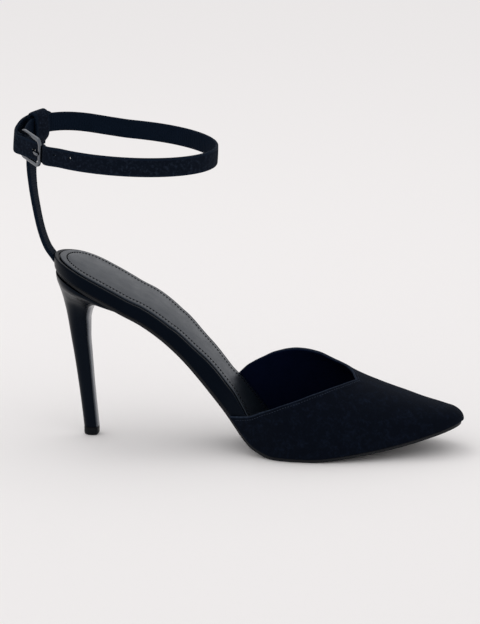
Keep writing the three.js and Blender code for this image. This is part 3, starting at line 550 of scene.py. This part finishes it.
LIFT_RUBBER = moulded_rubber("hard_lift_rubber", "02050a", "060a10")
NICKEL = polished_nickel("polished_nickel")
SOCK_THREAD = thread("sock_thread", "010203")
SUEDE_THREAD = thread("suede_thread", "2b333f")
# Painted highlight: a lighter suede for the rolled topline edge, where light catches the round of
# the fold
FOLD_SUEDE_PAINTED_HIGHLIGHT = suede("fold_suede_painted_highlight", "1a212d", "2c3542", nap=0.4, patch=1.6, relief=0.1)


# Layers of the sole

def sole_layer(name, start, end, half, profile, materials, slot_of=None, rows=240):
    """A layer from heel to toe. profile goes from the middle of the bottom round the right
    side to the middle of the top, as rows of inset, share of the half width, and height."""
    share = (1 - np.cos(np.linspace(0, math.pi, rows))) / 2
    right = []
    left = []
    for inset, across, height in profile:
        x = start + inset + (end - start - 2 * inset) * share
        reach = half(x, inset) * across
        right.append(np.stack([x, middle(x) + reach, height(x, across)], -1))
        left.append(np.stack([x, middle(x) - reach, height(x, across)], -1))
    rings = np.stack(right + left[-2:0:-1], 1)
    points, faces, where = skin(rings, ends=False)
    slots = None if slot_of is None else [slot_of(j, len(profile)) for i, j in where]
    return make_piece(name, points, faces, materials, slots)


def above(base, offset):
    return lambda x, across: base(x) + offset


def between(low, high, share):
    return lambda x, across: low(x) * (1 - share) + high(x) * share


def edge_profile(low, high, bottom_round, top_round, belly):
    """Right side of a layer from its bottom edge to its top edge, with round corners."""
    rows = [(bottom_round, s, above(low, 0)) for s in (0.0, 0.5, 0.85)]
    for a in np.linspace(0, math.pi / 2, 6):
        rows.append((bottom_round * (1 - math.sin(a)), 1.0,
                     above(low, bottom_round * (1 - math.cos(a)))))
    for s in (0.2, 0.35, 0.5, 0.65, 0.8):
        rows.append((-belly * math.sin(math.pi * s), 1.0, between(low, high, s)))
    for a in np.linspace(0, math.pi / 2, 7):
        rows.append((top_round * (1 - math.cos(a)), 1.0,
                     above(high, top_round * (math.sin(a) - 1))))
    return rows


def outsole_piece():
    rows = edge_profile(underside, outsole_top, 0.5, 0.5, 0.0)
    rows += [(0.5, s, above(outsole_top, 0)) for s in (0.8, 0.4, 0.0)]
    return sole_layer("sole_leather_edge", OUTSOLE_INSET, OUTSOLE_END, outsole_half, rows,
                      [SOLE_RUBBER])


def footbed_piece():
    rows = edge_profile(footbed_bottom, footbed_top, 0.7, 1.0, 0.12)
    rim = SOCK_MARGIN - SEAT_GAP
    floor = -SOCK_RECESS
    rows += [(1.5, 1.0, above(footbed_top, 0.02)), (rim - 0.25, 1.0, above(footbed_top, 0)),
             (rim - 0.08, 1.0, above(footbed_top, -0.08)), (rim, 1.0, above(footbed_top, -0.3)),
             (rim + 0.02, 1.0, above(footbed_top, floor))]
    rows += [(rim + 0.05, s, above(footbed_top, floor)) for s in (0.85, 0.4, 0.0)]
    piece = sole_layer("wrapped_footbed", 0.0, FOOTBED_END, footbed_half, rows, [WRAP])
    subtract(piece, slit_cutter())
    return piece


def sock_piece():
    low, high = sock_bottom, sock_top
    back = SOCK_GROOVE
    rows = [(back + 0.3, s, above(low, 0)) for s in (0.0, 0.5, 0.9, 1.0)]
    rows += [(back, 1.0, above(low, 0.3)), (back, 1.0, above(low, 0.6))]
    for a in np.linspace(0, math.pi / 2, 6):
        rows.append((back + 0.7 * (1 - math.cos(a)), 1.0, above(high, 0.7 * (math.sin(a) - 1))))
    groove = ((-1.6, 0.18), (-0.6, 0.20), (-0.3, 0.16), (0.0, 0.11), (0.3, 0.17), (0.6, 0.26))
    rows += [(SOCK_STITCH_INSET + d, 1.0, above(high, z)) for d, z in groove]

    def padded(x, across):
        return high(x) + 0.26 + 0.7 * (1 - across**2) * smoothstep(60 - np.abs(x - 45), 0, 40)

    rows += [(SOCK_STITCH_INSET + 0.6, s, padded) for s in np.linspace(0.92, 0, 12)]
    return sole_layer("padded_insole_sock", SOCK_MARGIN, SOCK_END, sock_half, rows,
                      [SOCK_LEATHER])


# Upper

def last_point(x, turn, depth):
    at = x / SHOE_LENGTH
    nose = SHOE_LENGTH - depth - x
    half = ((plan_at(at) + UPPER_SPREAD - depth)
            * rounded(nose, TOE_ROUND + UPPER_SPREAD - depth))
    toe = rounded(nose, TOE_CAP_ROUND - depth)
    angle = math.pi * turn
    share = np.sin(angle)
    across = (np.sign(np.cos(angle))
              * np.maximum(1 - np.maximum(share, 0) ** SIDE_FULLNESS, 0) ** (1 / SIDE_FULLNESS))
    y = middle(x) - half * across + ridge_at(at) * toe * share**2
    return np.stack([x, y, footbed_bottom(x) + (roof_at(at) - depth) * toe * share], -1)


THROAT = OUTER_TOPLINE["at"][-1]


def topline(turn):
    """Place along the shoe where the topline meets a turn round the section."""
    outer, inner = (smooth_curve(rows["at"], rows["along"])
                    for rows in (OUTER_TOPLINE, INNER_TOPLINE))
    return np.where(turn < THROAT, outer(turn), inner(turn)) * SHOE_LENGTH


def edge_turns(start, end, count):
    """Turns round the section that lie evenly along the topline."""
    fine = np.linspace(start, end, 600)
    line = last_point(topline(fine), fine, 0.0)
    travelled = np.concatenate([[0], np.cumsum(np.linalg.norm(np.diff(line, axis=0), axis=1))])
    return np.interp(np.linspace(0, travelled[-1], count), travelled, fine)


def near_line(points, line):
    """Shortest distance from each point to a line of points."""
    flat = points.reshape(-1, 3)
    best = np.full(len(flat), 1e9)
    for start in range(0, len(line), 40):
        part = line[start:start + 40]
        gap = np.linalg.norm(flat[:, None, :] - part[None, :, :], axis=2).min(1)
        best = np.minimum(best, gap)
    return best.reshape(points.shape[:-1])


def upper_grid(depth, turns, rows):
    """The wall of the upper at one depth, from the toe (row 0) to the topline."""
    nose = SHOE_LENGTH - depth
    length = nose - topline(turns)
    fine = np.clip(8.0 / length, 0, 0.5)
    steps = np.linspace(0, 1, rows) ** 1.7
    tail = np.linspace(0, 1, 28)[1:]
    share = np.concatenate([steps[:, None] * (1 - fine)[None, :],
                            (1 - fine)[None, :] + tail[:, None] * fine[None, :]])
    x = nose - length[None, :] * share
    return last_point(x, np.broadcast_to(turns, x.shape), depth), x


def upper_piece():
    turns = np.concatenate([edge_turns(0, THROAT, 85), edge_turns(THROAT, 1, 95)[1:]])
    outer, x = upper_grid(0.0, turns, 100)
    inner, _ = upper_grid(UPPER_WALL, turns, 100)
    edge = last_point(topline(np.linspace(0, 1, 700)), np.linspace(0, 1, 700), 0.0)
    gap = near_line(outer, edge)
    fold = FOLD_HEIGHT * smoothstep(FOLD_WIDTH + 0.7 - gap, 0, 0.9)
    standing = np.broadcast_to(np.sin(math.pi * turns), x.shape)
    fold = fold * smoothstep(standing, 0.02, 0.12)
    outer = last_point(x, np.broadcast_to(turns, x.shape), -fold)
    # The folded edge, painted a little lighter as a painted highlight, rolls over from the suede
    # to the lining
    beyond = outer[-1] - outer[-3]
    beyond /= np.linalg.norm(beyond, axis=1, keepdims=True)
    wall = np.linalg.norm(outer[-1] - inner[-1], axis=1, keepdims=True)
    roll = []
    for a in np.linspace(0, math.pi, 9)[1:-1]:
        share = (1 - math.cos(a)) / 2
        reach = wall / 2 * math.sin(a) * 0.9
        roll.append(outer[-1] * (1 - share) + inner[-1] * share + beyond * reach)
    sheet = np.concatenate([outer, np.array(roll), inner[::-1]])
    rows, columns = sheet.shape[:2]
    points = sheet.reshape(-1, 3)
    i, j = np.meshgrid(np.arange(rows - 1), np.arange(columns - 1), indexing="ij")
    a = i * columns + j
    quads = np.stack([a, a + 1, a + columns + 1, a + columns], -1).reshape(-1, 4)
    faces = quads.tolist()
    row = i.reshape(-1)
    # Slot 2, the rolled edge, carries the painted highlight
    slots = np.where(row < len(outer) - 2, 0, np.where(row < len(outer) + 4, 2, 1)).tolist()
    # The feather edges that stand on the outsole join the two faces
    for column in (0, columns - 1):
        for row in range(rows // 2):
            k = rows - 1 - row
            if row + 1 < k - 1:
                faces.append([row * columns + column, (row + 1) * columns + column,
                              (k - 1) * columns + column, k * columns + column])
                slots.append(0)
            elif row < k:
                faces.append([row * columns + column, (row + 1) * columns + column,
                              k * columns + column])
                slots.append(0)
                break
    return make_piece("suede_vamp", points, faces, [SUEDE, LINING, FOLD_SUEDE_PAINTED_HIGHLIGHT], slots)


def topline_stitch_path():
    """Points on the suede a fixed way below the topline."""
    turns = np.linspace(0.02, 0.985, 420)
    edge = last_point(topline(np.linspace(0, 1, 900)), np.linspace(0, 1, 900), 0.0)
    reach = np.linspace(0.2, 14, 120)
    x = topline(turns)[None, :] + reach[:, None]
    points = last_point(x, np.broadcast_to(turns, x.shape), -FOLD_HEIGHT - 0.02)
    gap = near_line(points, edge)
    picks = []
    for j in range(points.shape[1]):
        i = int(np.argmax(gap[:, j] > TOPLINE_STITCH_INSET))
        if gap[i, j] > TOPLINE_STITCH_INSET:
            picks.append(points[i, j])
    return np.array(picks)


# Heel and top lift

def heel_ring(back, front, high, low, width, steps=112):
    angle = np.linspace(0, 2 * math.pi, steps, endpoint=False)
    turn = np.cos(angle)
    along = np.where(turn < 0, (1 + turn) / 2, 0.5 + 0.5 * np.maximum(turn, 0) ** 0.45)
    sine = np.sin(angle)
    fullness = np.where(turn < 0, 1.0, 0.55)
    y = np.sign(sine) * np.abs(sine) ** fullness * width / 2
    return np.stack([back + (front - back) * along, y, high + (low - high) * along], -1)


def heel_piece():
    tip_front = HEEL_TIP_SET_IN + HEEL_TIP_DEPTH
    row = np.linspace(0, 11, 130)
    value = {name: smooth_curve(HEEL_RINGS["at"], HEEL_RINGS[name])(row)
             for name in ("back", "front", "low", "high", "width")}
    foot = (LIFT_HEIGHT + SEAT_GAP) / SEAT_HEIGHT
    value["low"][0] = foot
    value["high"][0] = foot
    rings = np.array([
        heel_ring(HEEL_TIP_SET_IN - value["back"][i] * HEEL_SEAT_LENGTH,
                  tip_front + value["front"][i] * HEEL_SEAT_LENGTH,
                  value["high"][i] * SEAT_HEIGHT, value["low"][i] * SEAT_HEIGHT,
                  HEEL_TIP_WIDTH + value["width"][i] * SEAT_WIDTH)
        for i in range(len(row))
    ])
    points, faces, where = skin(rings)
    # The flat breast that faces forward is painted lighter than the sides: a painted reflection of
    # the bright studio in front of it
    slots = [int(0 <= j < 15 or j > 96) for i, j in where]
    piece = make_piece("leather_heel", points, faces, [HEEL_LEATHER, BREAST_PAINTED_REFLECTION], slots, sharp=50)
    x = np.linspace(-SEAT_ROUND, SHOE_LENGTH / 2, 160)
    low = underside(np.maximum(x, 0)) - SEAT_GAP
    top = np.full_like(x, 2 * SEAT_HEIGHT)
    side = np.full_like(x, SEAT_WIDTH)
    block = np.stack([np.stack([x, -side, low], -1), np.stack([x, side, low], -1),
                      np.stack([x, side, top], -1), np.stack([x, -side, top], -1)], 1)
    points, faces, _ = skin(block)
    subtract(piece, make_piece("seat_block", points, faces, [HEEL_LEATHER, BREAST_PAINTED_REFLECTION]))
    return piece


def lift_piece():
    tip_front = HEEL_TIP_SET_IN + HEEL_TIP_DEPTH
    rows = [(LIFT_CHAMFER, 0.0), (0.35, 0.25), (0.12, 0.7), (0.0, 1.4), (0.0, LIFT_HEIGHT - 0.3),
            (0.08, LIFT_HEIGHT - 0.06), (0.3, LIFT_HEIGHT)]
    rings = np.array([
        heel_ring(HEEL_TIP_SET_IN + inset, tip_front - inset, z, z, HEEL_TIP_WIDTH - 2 * inset)
        for inset, z in rows
    ])
    points, faces, _ = skin(rings)
    return make_piece("rubber_top_lift", points, faces, [LIFT_RUBBER])


# Straps

def turned(vector, axis, degrees):
    """A vector turned round a main axis."""
    c, s = math.cos(math.radians(degrees)), math.sin(math.radians(degrees))
    x, y, z = vector
    if axis == "x":
        return np.array([x, y * c - z * s, y * s + z * c])
    return np.array([x * c + z * s, y, -x * s + z * c])


def tilted(vector):
    return turned(turned(vector, "y", RING_DIP), "x", RING_ROLL)


def unit(vector):
    return vector / np.linalg.norm(vector)


def ring_point(degrees):
    angle = math.radians(degrees)
    lift = float(ring_lift((degrees % 360) / 360))
    flat = np.array([math.cos(angle) * RING_LENGTH / 2, math.sin(angle) * RING_WIDTH / 2, lift])
    return tilted(flat) + np.array([RING_X, RING_Y, RING_HEIGHT])


def ring_frame(degrees, offset=0.0):
    angle = math.radians(degrees)
    out = tilted(unit(np.array([math.cos(angle) * RING_WIDTH, math.sin(angle) * RING_LENGTH, 0])))
    travel = unit(ring_point(degrees + 1) - ring_point(degrees - 1))
    up = unit(np.cross(out, travel))
    return {"point": ring_point(degrees) + out * offset, "out": out, "travel": travel, "up": up}


def ring_angle(distance):
    degrees, travelled = BUCKLE_ANGLE, 0.0
    while travelled < distance:
        here = ring_point(degrees)
        degrees += 0.5
        travelled += np.linalg.norm(ring_point(degrees) - here)
    return degrees


BUCKLE = ring_frame(BUCKLE_ANGLE)
BAR_HALF = BUCKLE_BAR_DEPTH / 2
STRAP_HALF = STRAP_THICKNESS / 2
BAR_REACH = BUCKLE_LENGTH / 2 - BUCKLE_BAR_WIDTH / 2
WRAP_RADIUS = BAR_HALF + SEAT_GAP + STRAP_HALF
OVER_WRAP = WRAP_RADIUS + STRAP_THICKNESS + SEAT_GAP
SLEEVE_RADIUS = STRAP_HALF + SLEEVE_SLACK + BACK_THICKNESS / 2
TAIL_OFFSET = SLEEVE_RADIUS + BACK_THICKNESS / 2 + SLEEVE_SLACK * 0.7 + STRAP_HALF


def buckle_point(p, r, q=0.0):
    return BUCKLE["point"] + BUCKLE["travel"] * p + BUCKLE["out"] * r + BUCKLE["up"] * q


def buckle_station(p, r, heading, side=1):
    angle = math.radians(heading)
    out = BUCKLE["out"] * math.cos(angle) + BUCKLE["travel"] * math.sin(angle)
    return buckle_point(p, r), BUCKLE["up"] * side, out * side


def ring_station(degrees, offset):
    place = ring_frame(degrees, offset)
    return place["point"], place["up"], place["out"]


def ankle_path():
    """Stations of the strap: the fold round the hinge bar, the ring, the buckle, the tail."""
    hinge = -BAR_REACH
    path = [buckle_station(hinge - FOLD_TAIL, WRAP_RADIUS - 1.2, -14, -1),
            buckle_station(hinge - FOLD_TAIL / 2, WRAP_RADIUS - 0.2, -8, -1)]
    for turn in range(0, 181, 15):
        angle = math.radians(turn)
        path.append(buckle_station(hinge + WRAP_RADIUS * math.sin(angle),
                                   WRAP_RADIUS * math.cos(angle), turn, -1))
    path += [ring_station(degrees, 0) for degrees in range(182, -128, -8)]
    path += [buckle_station(BAR_REACH + 4, -WRAP_RADIUS + 0.3, 6),
             buckle_station(BAR_REACH, -WRAP_RADIUS, -4),
             buckle_station(BAR_REACH - 5, -WRAP_RADIUS + 1.1, -15),
             buckle_station(hinge + 6, OVER_WRAP - 1.2, -15),
             buckle_station(hinge + 1, OVER_WRAP, -4)]
    path += [ring_station(BUCKLE_ANGLE - 360 + along, TAIL_OFFSET * out)
             for along, out in zip(TAIL_ROWS["along"], TAIL_ROWS["out"])]
    return path


def flowing(path, step):
    """Stations spread evenly along a smooth curve through the given ones."""
    points, wides, outs = (np.array([station[k] for station in path]) for k in range(3))
    travelled = np.concatenate([[0], np.cumsum(np.linalg.norm(np.diff(points, axis=0), axis=1))])
    at = np.linspace(0, travelled[-1], max(int(travelled[-1] / step), 8))

    def through(values):
        return np.stack([smooth_curve(travelled, values[:, k])(at) for k in range(3)], -1)

    point = through(points)
    out = through(outs)
    heading = np.gradient(point, axis=0)
    heading /= np.linalg.norm(heading, axis=1, keepdims=True)
    out -= heading * (out * heading).sum(1, keepdims=True)
    out /= np.linalg.norm(out, axis=1, keepdims=True)
    wide = np.cross(heading, out)
    agree = np.sign((wide * through(wides)).sum(1, keepdims=True))
    return point, wide * agree, out, at


def strap_section(width, thickness, crown):
    """Round the section from the middle of the outer face: two layers with a seam between."""
    w, t = width / 2, thickness / 2
    soft = thickness * 0.3
    rows = []
    for a in np.linspace(0, 1, 9)[:-1]:
        rows.append((a * (w - soft), t + crown * (1 - a**2), 0))
    for a in np.linspace(0, math.pi / 2, 5):
        rows.append((w - soft + soft * math.sin(a), t - soft + soft * math.cos(a), 2))
    rows += [(w - 0.04, 0.10, 2), (w - 0.16, -0.05, 2), (w - 0.04, -0.2, 1)]
    for a in np.linspace(0, math.pi / 2, 4):
        rows.append((w - 0.05 - soft * (1 - math.cos(a)), -t + soft * (1 - math.sin(a)), 1))
    for a in np.linspace(0, 1, 6)[1:]:
        rows.append(((w - 0.05 - soft) * (1 - a), -t, 1))
    other = [(-a, b, kind) for a, b, kind in rows[-2:0:-1]]
    return rows + other


def strap_piece(name, path, width, thickness, materials, tip=0.0, crown=0.12, all_suede=0.0):
    point, wide, out, at = flowing(path, 0.8)
    section = strap_section(width, thickness, crown)
    a = np.array([row[0] for row in section])
    b = np.array([row[1] for row in section])
    narrow = np.ones(len(at))
    if tip:
        narrow = np.maximum(rounded(at[-1] - at, tip), 0.2)
    rings = (point[:, None, :] + wide[:, None, :] * (a[None, :, None] * narrow[:, None, None])
             + out[:, None, :] * b[None, :, None])
    points, faces, where = skin(rings)
    slots = []
    for i, j in where:
        if j < 0:
            slots.append(2)
        else:
            kind = max(section[j][2], section[(j + 1) % len(section)][2])
            kind = 2 if {section[j][2], section[(j + 1) % len(section)][2]} == {0, 2} else kind
            slots.append(0 if at[i] < all_suede and kind == 1 else kind)
    along = np.repeat(at / RIB_PITCH, len(section))
    return make_piece(name, points, faces, materials, slots, 50, along)


def prong_path():
    rest = BAR_HALF + SEAT_GAP + PRONG_THICKNESS / 2
    rows = [(-BAR_REACH + WRAP_RADIUS + STRAP_HALF + SEAT_GAP, -0.4, 5), (-2, -1.1, 0),
            (2.2, -0.9, -20), (5.5, 0.7, -24), (8, 1.6, -8), (BAR_REACH + 0.4, rest, 0),
            (BAR_REACH + PRONG_OVERHANG, rest - 0.2, 10)]
    return [buckle_station(*row) for row in rows]


def rod(name, path, radius, materials, fullness=1.0):
    """A bar with a round section and round ends."""
    point, wide, out, at = flowing(path, 0.35)
    angle = np.linspace(0, 2 * math.pi, 24, endpoint=False)
    a = np.sign(np.cos(angle)) * np.abs(np.cos(angle)) ** fullness
    b = np.sign(np.sin(angle)) * np.abs(np.sin(angle)) ** fullness
    end = np.minimum(at, at[-1] - at)
    size = radius * np.maximum(rounded(end, radius), 0.15)
    rings = (point[:, None, :] + wide[:, None, :] * (a[None, :, None] * size[:, None, None])
             + out[:, None, :] * (b[None, :, None] * size[:, None, None]))
    points, faces, _ = skin(rings)
    return make_piece(name, points, faces, materials)


def ankle_strap_piece():
    path = ankle_path()
    piece = strap_piece("suede_ankle_strap", path, STRAP_WIDTH, STRAP_THICKNESS,
                        [STRAP_SUEDE, STRAP_LINING, STRAP_EDGE], tip=6.0, all_suede=12.0)
    cutters = [rod("prong_slot", prong_path(), PRONG_THICKNESS / 2 + SEAM_GAP, [STRAP_EDGE])]
    for step in range(2):
        place = ring_frame(ring_angle(FIRST_HOLE + step * HOLE_SPACING))
        centre = place["point"] + place["up"] * HOLE_RAISE
        angle = np.linspace(0, 2 * math.pi, 28, endpoint=False)
        circle = (place["travel"][None, :] * np.cos(angle)[:, None]
                  + place["up"][None, :] * np.sin(angle)[:, None]) * HOLE_DIAMETER / 2
        rings = np.array([centre + circle + place["out"] * side * STRAP_THICKNESS
                          for side in (-1, 1)])
        points, faces, _ = skin(rings)
        cutters.append(make_piece("punch", points, faces, [STRAP_EDGE]))
    subtract(piece, *cutters)
    return piece


def buckle_frame_piece():
    """A flat bar bent round a rectangle with round corners."""
    w = (BUCKLE_LENGTH - BUCKLE_BAR_WIDTH) / 2
    h = (BUCKLE_HEIGHT - BUCKLE_BAR_WIDTH) / 2
    r = BUCKLE_CORNER
    corners = [(w - r, h - r, 0), (-w + r, h - r, 90), (-w + r, -h + r, 180), (w - r, -h + r, 270)]
    angle = np.linspace(0, 2 * math.pi, 32, endpoint=False)
    # A nearly square section with soft corners
    side = np.sign(np.cos(angle)) * np.abs(np.cos(angle)) ** 0.5 * BUCKLE_BAR_WIDTH / 2
    deep = np.sign(np.sin(angle)) * np.abs(np.sin(angle)) ** 0.5 * BAR_HALF
    rings = []
    for x, y, start in corners:
        for turn in np.linspace(0, 90, 15):
            a = math.radians(start + turn)
            rings.append([buckle_point(x + math.cos(a) * (r + s), d, y + math.sin(a) * (r + s))
                          for s, d in zip(side, deep)])
    rings.append(rings[0])
    points, faces, _ = skin(np.array(rings), ends=False)
    return make_piece("nickel_buckle_frame", points, faces, [NICKEL])


SLEEVE = ring_frame(SLEEVE_ANGLE)
SLEEVE_TOP = STRAP_WIDTH / 2 + SLEEVE_HEADROOM - SLEEVE_RADIUS + BACK_THICKNESS / 2


def sleeve_station(r, z, heading):
    angle = math.radians(heading)
    return (SLEEVE["point"] + SLEEVE["out"] * r + SLEEVE["up"] * z, SLEEVE["travel"],
            SLEEVE["out"] * math.cos(angle) + SLEEVE["up"] * math.sin(angle))


def low_back_path(rows):
    slit = np.array([0, float(middle(0.0)),
                     float(footbed_top(0.0) + footbed_bottom(0.0)) / 2 + 0.9])
    start = sleeve_station(SLEEVE_RADIUS, -STRAP_WIDTH / 2 - 5, 0)
    straight = np.array([0.0, -1.0, 0.0])
    path = []
    for i in range(rows):
        row = {name: BACK_ROWS[name][i] for name in BACK_ROWS}
        wide = unit(straight * (1 - row["twist"]) + start[1] * row["twist"])
        lean = math.radians(row["lean"])
        climb = np.array([-math.sin(lean), 0, math.cos(lean)])
        out = unit(np.cross(wide, climb))
        point = np.array([slit[0] + row["x"] * BACK_BULGE,
                          slit[1] + (start[0][1] - slit[1]) * row["side"],
                          slit[2] + (start[0][2] - slit[2]) * row["z"]])
        path.append((point, wide - out * np.dot(wide, out), out))
    return path, start


def back_path():
    low, start = low_back_path(len(BACK_ROWS["x"]))
    over = [sleeve_station(SLEEVE_RADIUS * math.cos(math.radians(t)),
                           SLEEVE_TOP + SLEEVE_RADIUS * math.sin(math.radians(t)), t)
            for t in range(0, 181, 15)]
    tuck = SLEEVE_RADIUS - BACK_THICKNESS - SEAT_GAP
    half = STRAP_WIDTH / 2
    down = [sleeve_station(-SLEEVE_RADIUS, -half + 1, 180),
            sleeve_station(-SLEEVE_RADIUS * 0.75, -half - 1.5, 160),
            sleeve_station(tuck - 0.3, -half - 4.5, 160),
            sleeve_station(tuck, -half - 6.5, 178)]
    return low + [start] + over + down


def back_strap_piece():
    return strap_piece("suede_back_strap", back_path(), BACK_WIDTH, BACK_THICKNESS,
                       [STRAP_SUEDE, STRAP_LINING, STRAP_EDGE])


def slit_cutter():
    path, _ = low_back_path(4)
    first, second = path[0], path[1]
    path[0] = (first[0] + unit(first[0] - second[0]) * SEAT_GAP, first[1], first[2])
    return strap_piece("slit", path, BACK_WIDTH + 2 * SEAT_GAP, BACK_THICKNESS + 2 * SEAT_GAP,
                       [WRAP, WRAP, WRAP], crown=0.0)


# Stitches

def stitch_tree():
    """Oval stitches end to end along a seam, each with a small gap to the next."""
    tree = bpy.data.node_groups.new("seam_stitches", "GeometryNodeTree")
    face = tree.interface
    face.new_socket("Seam", in_out="INPUT", socket_type="NodeSocketGeometry")
    face.new_socket("Pitch", in_out="INPUT", socket_type="NodeSocketFloat")
    face.new_socket("Length", in_out="INPUT", socket_type="NodeSocketFloat")
    face.new_socket("Thread", in_out="INPUT", socket_type="NodeSocketFloat")
    face.new_socket("Material", in_out="INPUT", socket_type="NodeSocketMaterial")
    face.new_socket("Stitches", in_out="OUTPUT", socket_type="NodeSocketGeometry")
    source = add_node(tree, "NodeGroupInput").outputs
    seam = add_node(tree, "GeometryNodeMeshToCurve", Mesh=source["Seam"])
    spots = add_node(tree, "GeometryNodeResampleCurve", {"mode": "LENGTH"},
                     Curve=seam.outputs[0], Length=source["Pitch"])
    bead = add_node(tree, "GeometryNodeMeshUVSphere", Segments=8, Rings=6, Radius=0.5)
    size = add_node(tree, "ShaderNodeCombineXYZ", X=source["Length"], Y=source["Thread"],
                    Z=source["Thread"])
    along = add_node(tree, "GeometryNodeInputTangent")
    heading = add_node(tree, "FunctionNodeAlignRotationToVector", {"axis": "X"},
                       Vector=along.outputs[0])
    copies = add_node(tree, "GeometryNodeInstanceOnPoints", Points=spots.outputs[0],
                      Instance=bead.outputs[0], Rotation=heading.outputs[0],
                      Scale=size.outputs[0])
    real = add_node(tree, "GeometryNodeRealizeInstances", Geometry=copies.outputs[0])
    smooth = add_node(tree, "GeometryNodeSetShadeSmooth", Geometry=real.outputs[0])
    dressed = add_node(tree, "GeometryNodeSetMaterial", Geometry=smooth.outputs[0],
                       Material=source["Material"])
    end = add_node(tree, "NodeGroupOutput")
    tree.links.new(dressed.outputs[0], end.inputs[0])
    return tree


STITCHES = stitch_tree()


def stitch_piece(name, path, pitch, length, thick, material):
    mesh = bpy.data.meshes.new(name + "_seam")
    edges = [(i, i + 1) for i in range(len(path) - 1)]
    mesh.from_pydata(placed(path).tolist(), edges, [])
    piece = bpy.data.objects.new(name, mesh)
    bpy.context.scene.collection.objects.link(piece)
    change = piece.modifiers.new("stitches", "NODES")
    change.node_group = STITCHES
    values = {"Pitch": pitch / 1000, "Length": length / 1000, "Thread": thick / 1000,
              "Material": material}
    for item in STITCHES.interface.items_tree:
        if item.in_out == "INPUT" and item.name in values:
            change[item.identifier] = values[item.name]
    bpy.context.view_layer.update()
    evaluated = piece.evaluated_get(bpy.context.evaluated_depsgraph_get())
    made = bpy.data.meshes.new_from_object(evaluated)
    piece.modifiers.clear()
    piece.data = made
    bpy.data.meshes.remove(mesh)
    made.name = name
    return piece


def sock_stitch_path():
    share = (1 - np.cos(np.linspace(0, math.pi, 700))) / 2
    inset = SOCK_STITCH_INSET
    start, end = SOCK_MARGIN + inset, SOCK_END - inset
    x = start + (end - start) * share
    keep = x < SHOE_LENGTH * 0.7
    x = x[keep]
    reach = sock_half(x, inset)
    z = sock_top(x) + 0.16
    right = np.stack([x, middle(x) + reach, z], -1)
    left = np.stack([x, middle(x) - reach, z], -1)
    return np.concatenate([left[::-1], right[1:]])


# The shoe

PIECES = [
    (outsole_piece(), "sole_rubber", "outsole"),
    (footbed_piece(), "leather", "footbed"),
    (sock_piece(), "sock_leather", "insole_sock"),
    (upper_piece(), "suede", "upper"),
    (heel_piece(), "leather", "heel"),
    (lift_piece(), "sole_rubber", "top_lift"),
    (back_strap_piece(), "suede", "back_strap"),
    (ankle_strap_piece(), "suede", "ankle_strap"),
    (buckle_frame_piece(), "buckle_metal", "buckle_frame"),
    (rod("nickel_prong", prong_path(), PRONG_THICKNESS / 2, [NICKEL], 0.8), "buckle_metal",
     "buckle_prong"),
    (stitch_piece("sock_stitches", sock_stitch_path(), SOCK_STITCH_PITCH, SOCK_STITCH_LENGTH,
                  SOCK_THREAD_THICKNESS, SOCK_THREAD), "sock_leather", None),
    (stitch_piece("topline_stitches", topline_stitch_path(), TOPLINE_STITCH_PITCH,
                  TOPLINE_STITCH_LENGTH, TOPLINE_THREAD_THICKNESS, SUEDE_THREAD), "suede", None),
]
for piece, slot, node in PIECES:
    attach(piece, "root")
    if node:
        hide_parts(node)


# Floor, light and camera

def paper_floor():
    """Seamless pale paper under the shoe."""
    material, tree, shader = new_material("pale_paper")
    set_shader(shader, Base_Color=linear("f2efed"), Roughness=1.0, Specular_IOR_Level=0.0)
    mesh = bpy.data.meshes.new("floor")
    size = 9.0
    mesh.from_pydata([(-size, -size, 0), (size, -size, 0), (size, size, 0), (-size, size, 0)], [],
                     [(0, 1, 2, 3)])
    mesh.materials.append(material)
    floor = bpy.data.objects.new("floor", mesh)
    bpy.context.scene.collection.objects.link(floor)


def soft_light(name, place, aim, size, power):
    lamp = bpy.data.lights.new(name, "AREA")
    lamp.shape = "RECTANGLE"
    lamp.size, lamp.size_y = size
    lamp.energy = power
    item = bpy.data.objects.new(name, lamp)
    item.location = place
    item.rotation_euler = (Vector(aim) - Vector(place)).to_track_quat("-Z", "Y").to_euler()
    bpy.context.scene.collection.objects.link(item)


SKY_COLOUR = "fdfdff"
SKY_STRENGTH = 0.93

paper_floor()
world = bpy.data.worlds.new("studio")
bpy.context.scene.world = world
world.use_nodes = True
world.node_tree.nodes["Background"].inputs["Color"].default_value = linear(SKY_COLOUR)
world.node_tree.nodes["Background"].inputs["Strength"].default_value = SKY_STRENGTH
soft_light("top_softbox", (-0.35, 0.35, 1.1), (-0.05, 0, 0.1), (0.5, 0.5), 1.2)
bpy.context.scene.view_settings.view_transform = "Standard"

CAMERA_AZIMUTH = 10.0
CAMERA_ELEVATION = 14.6
CAMERA_DISTANCE = 2.0
PIXELS_PER_METRE = 1796.4
AIM = (0.0, 0.0, 0.070)
AIM_RIGHT = 0.0003
AIM_UP = 0.0055

a, e = math.radians(CAMERA_AZIMUTH), math.radians(CAMERA_ELEVATION)
backwards = Vector((math.sin(a) * math.cos(e), -math.cos(a) * math.cos(e), math.sin(e)))
rightwards = Vector((math.cos(a), math.sin(a), 0))
upwards = Vector((-math.sin(a) * math.sin(e), math.cos(a) * math.sin(e), math.cos(e)))
aim = Vector(AIM) + rightwards * AIM_RIGHT + upwards * AIM_UP
view = bpy.data.cameras.new("camera")
view.sensor_fit = "HORIZONTAL"
view.sensor_width = 36.0
view.lens = PIXELS_PER_METRE * CAMERA_DISTANCE / 480 * 36.0
view.clip_end = 60.0
camera = bpy.data.objects.new("camera", view)
camera.location = aim + backwards * CAMERA_DISTANCE
camera.rotation_euler = (-backwards).to_track_quat("-Z", "Y").to_euler()
bpy.context.scene.collection.objects.link(camera)
bpy.context.scene.camera = camera
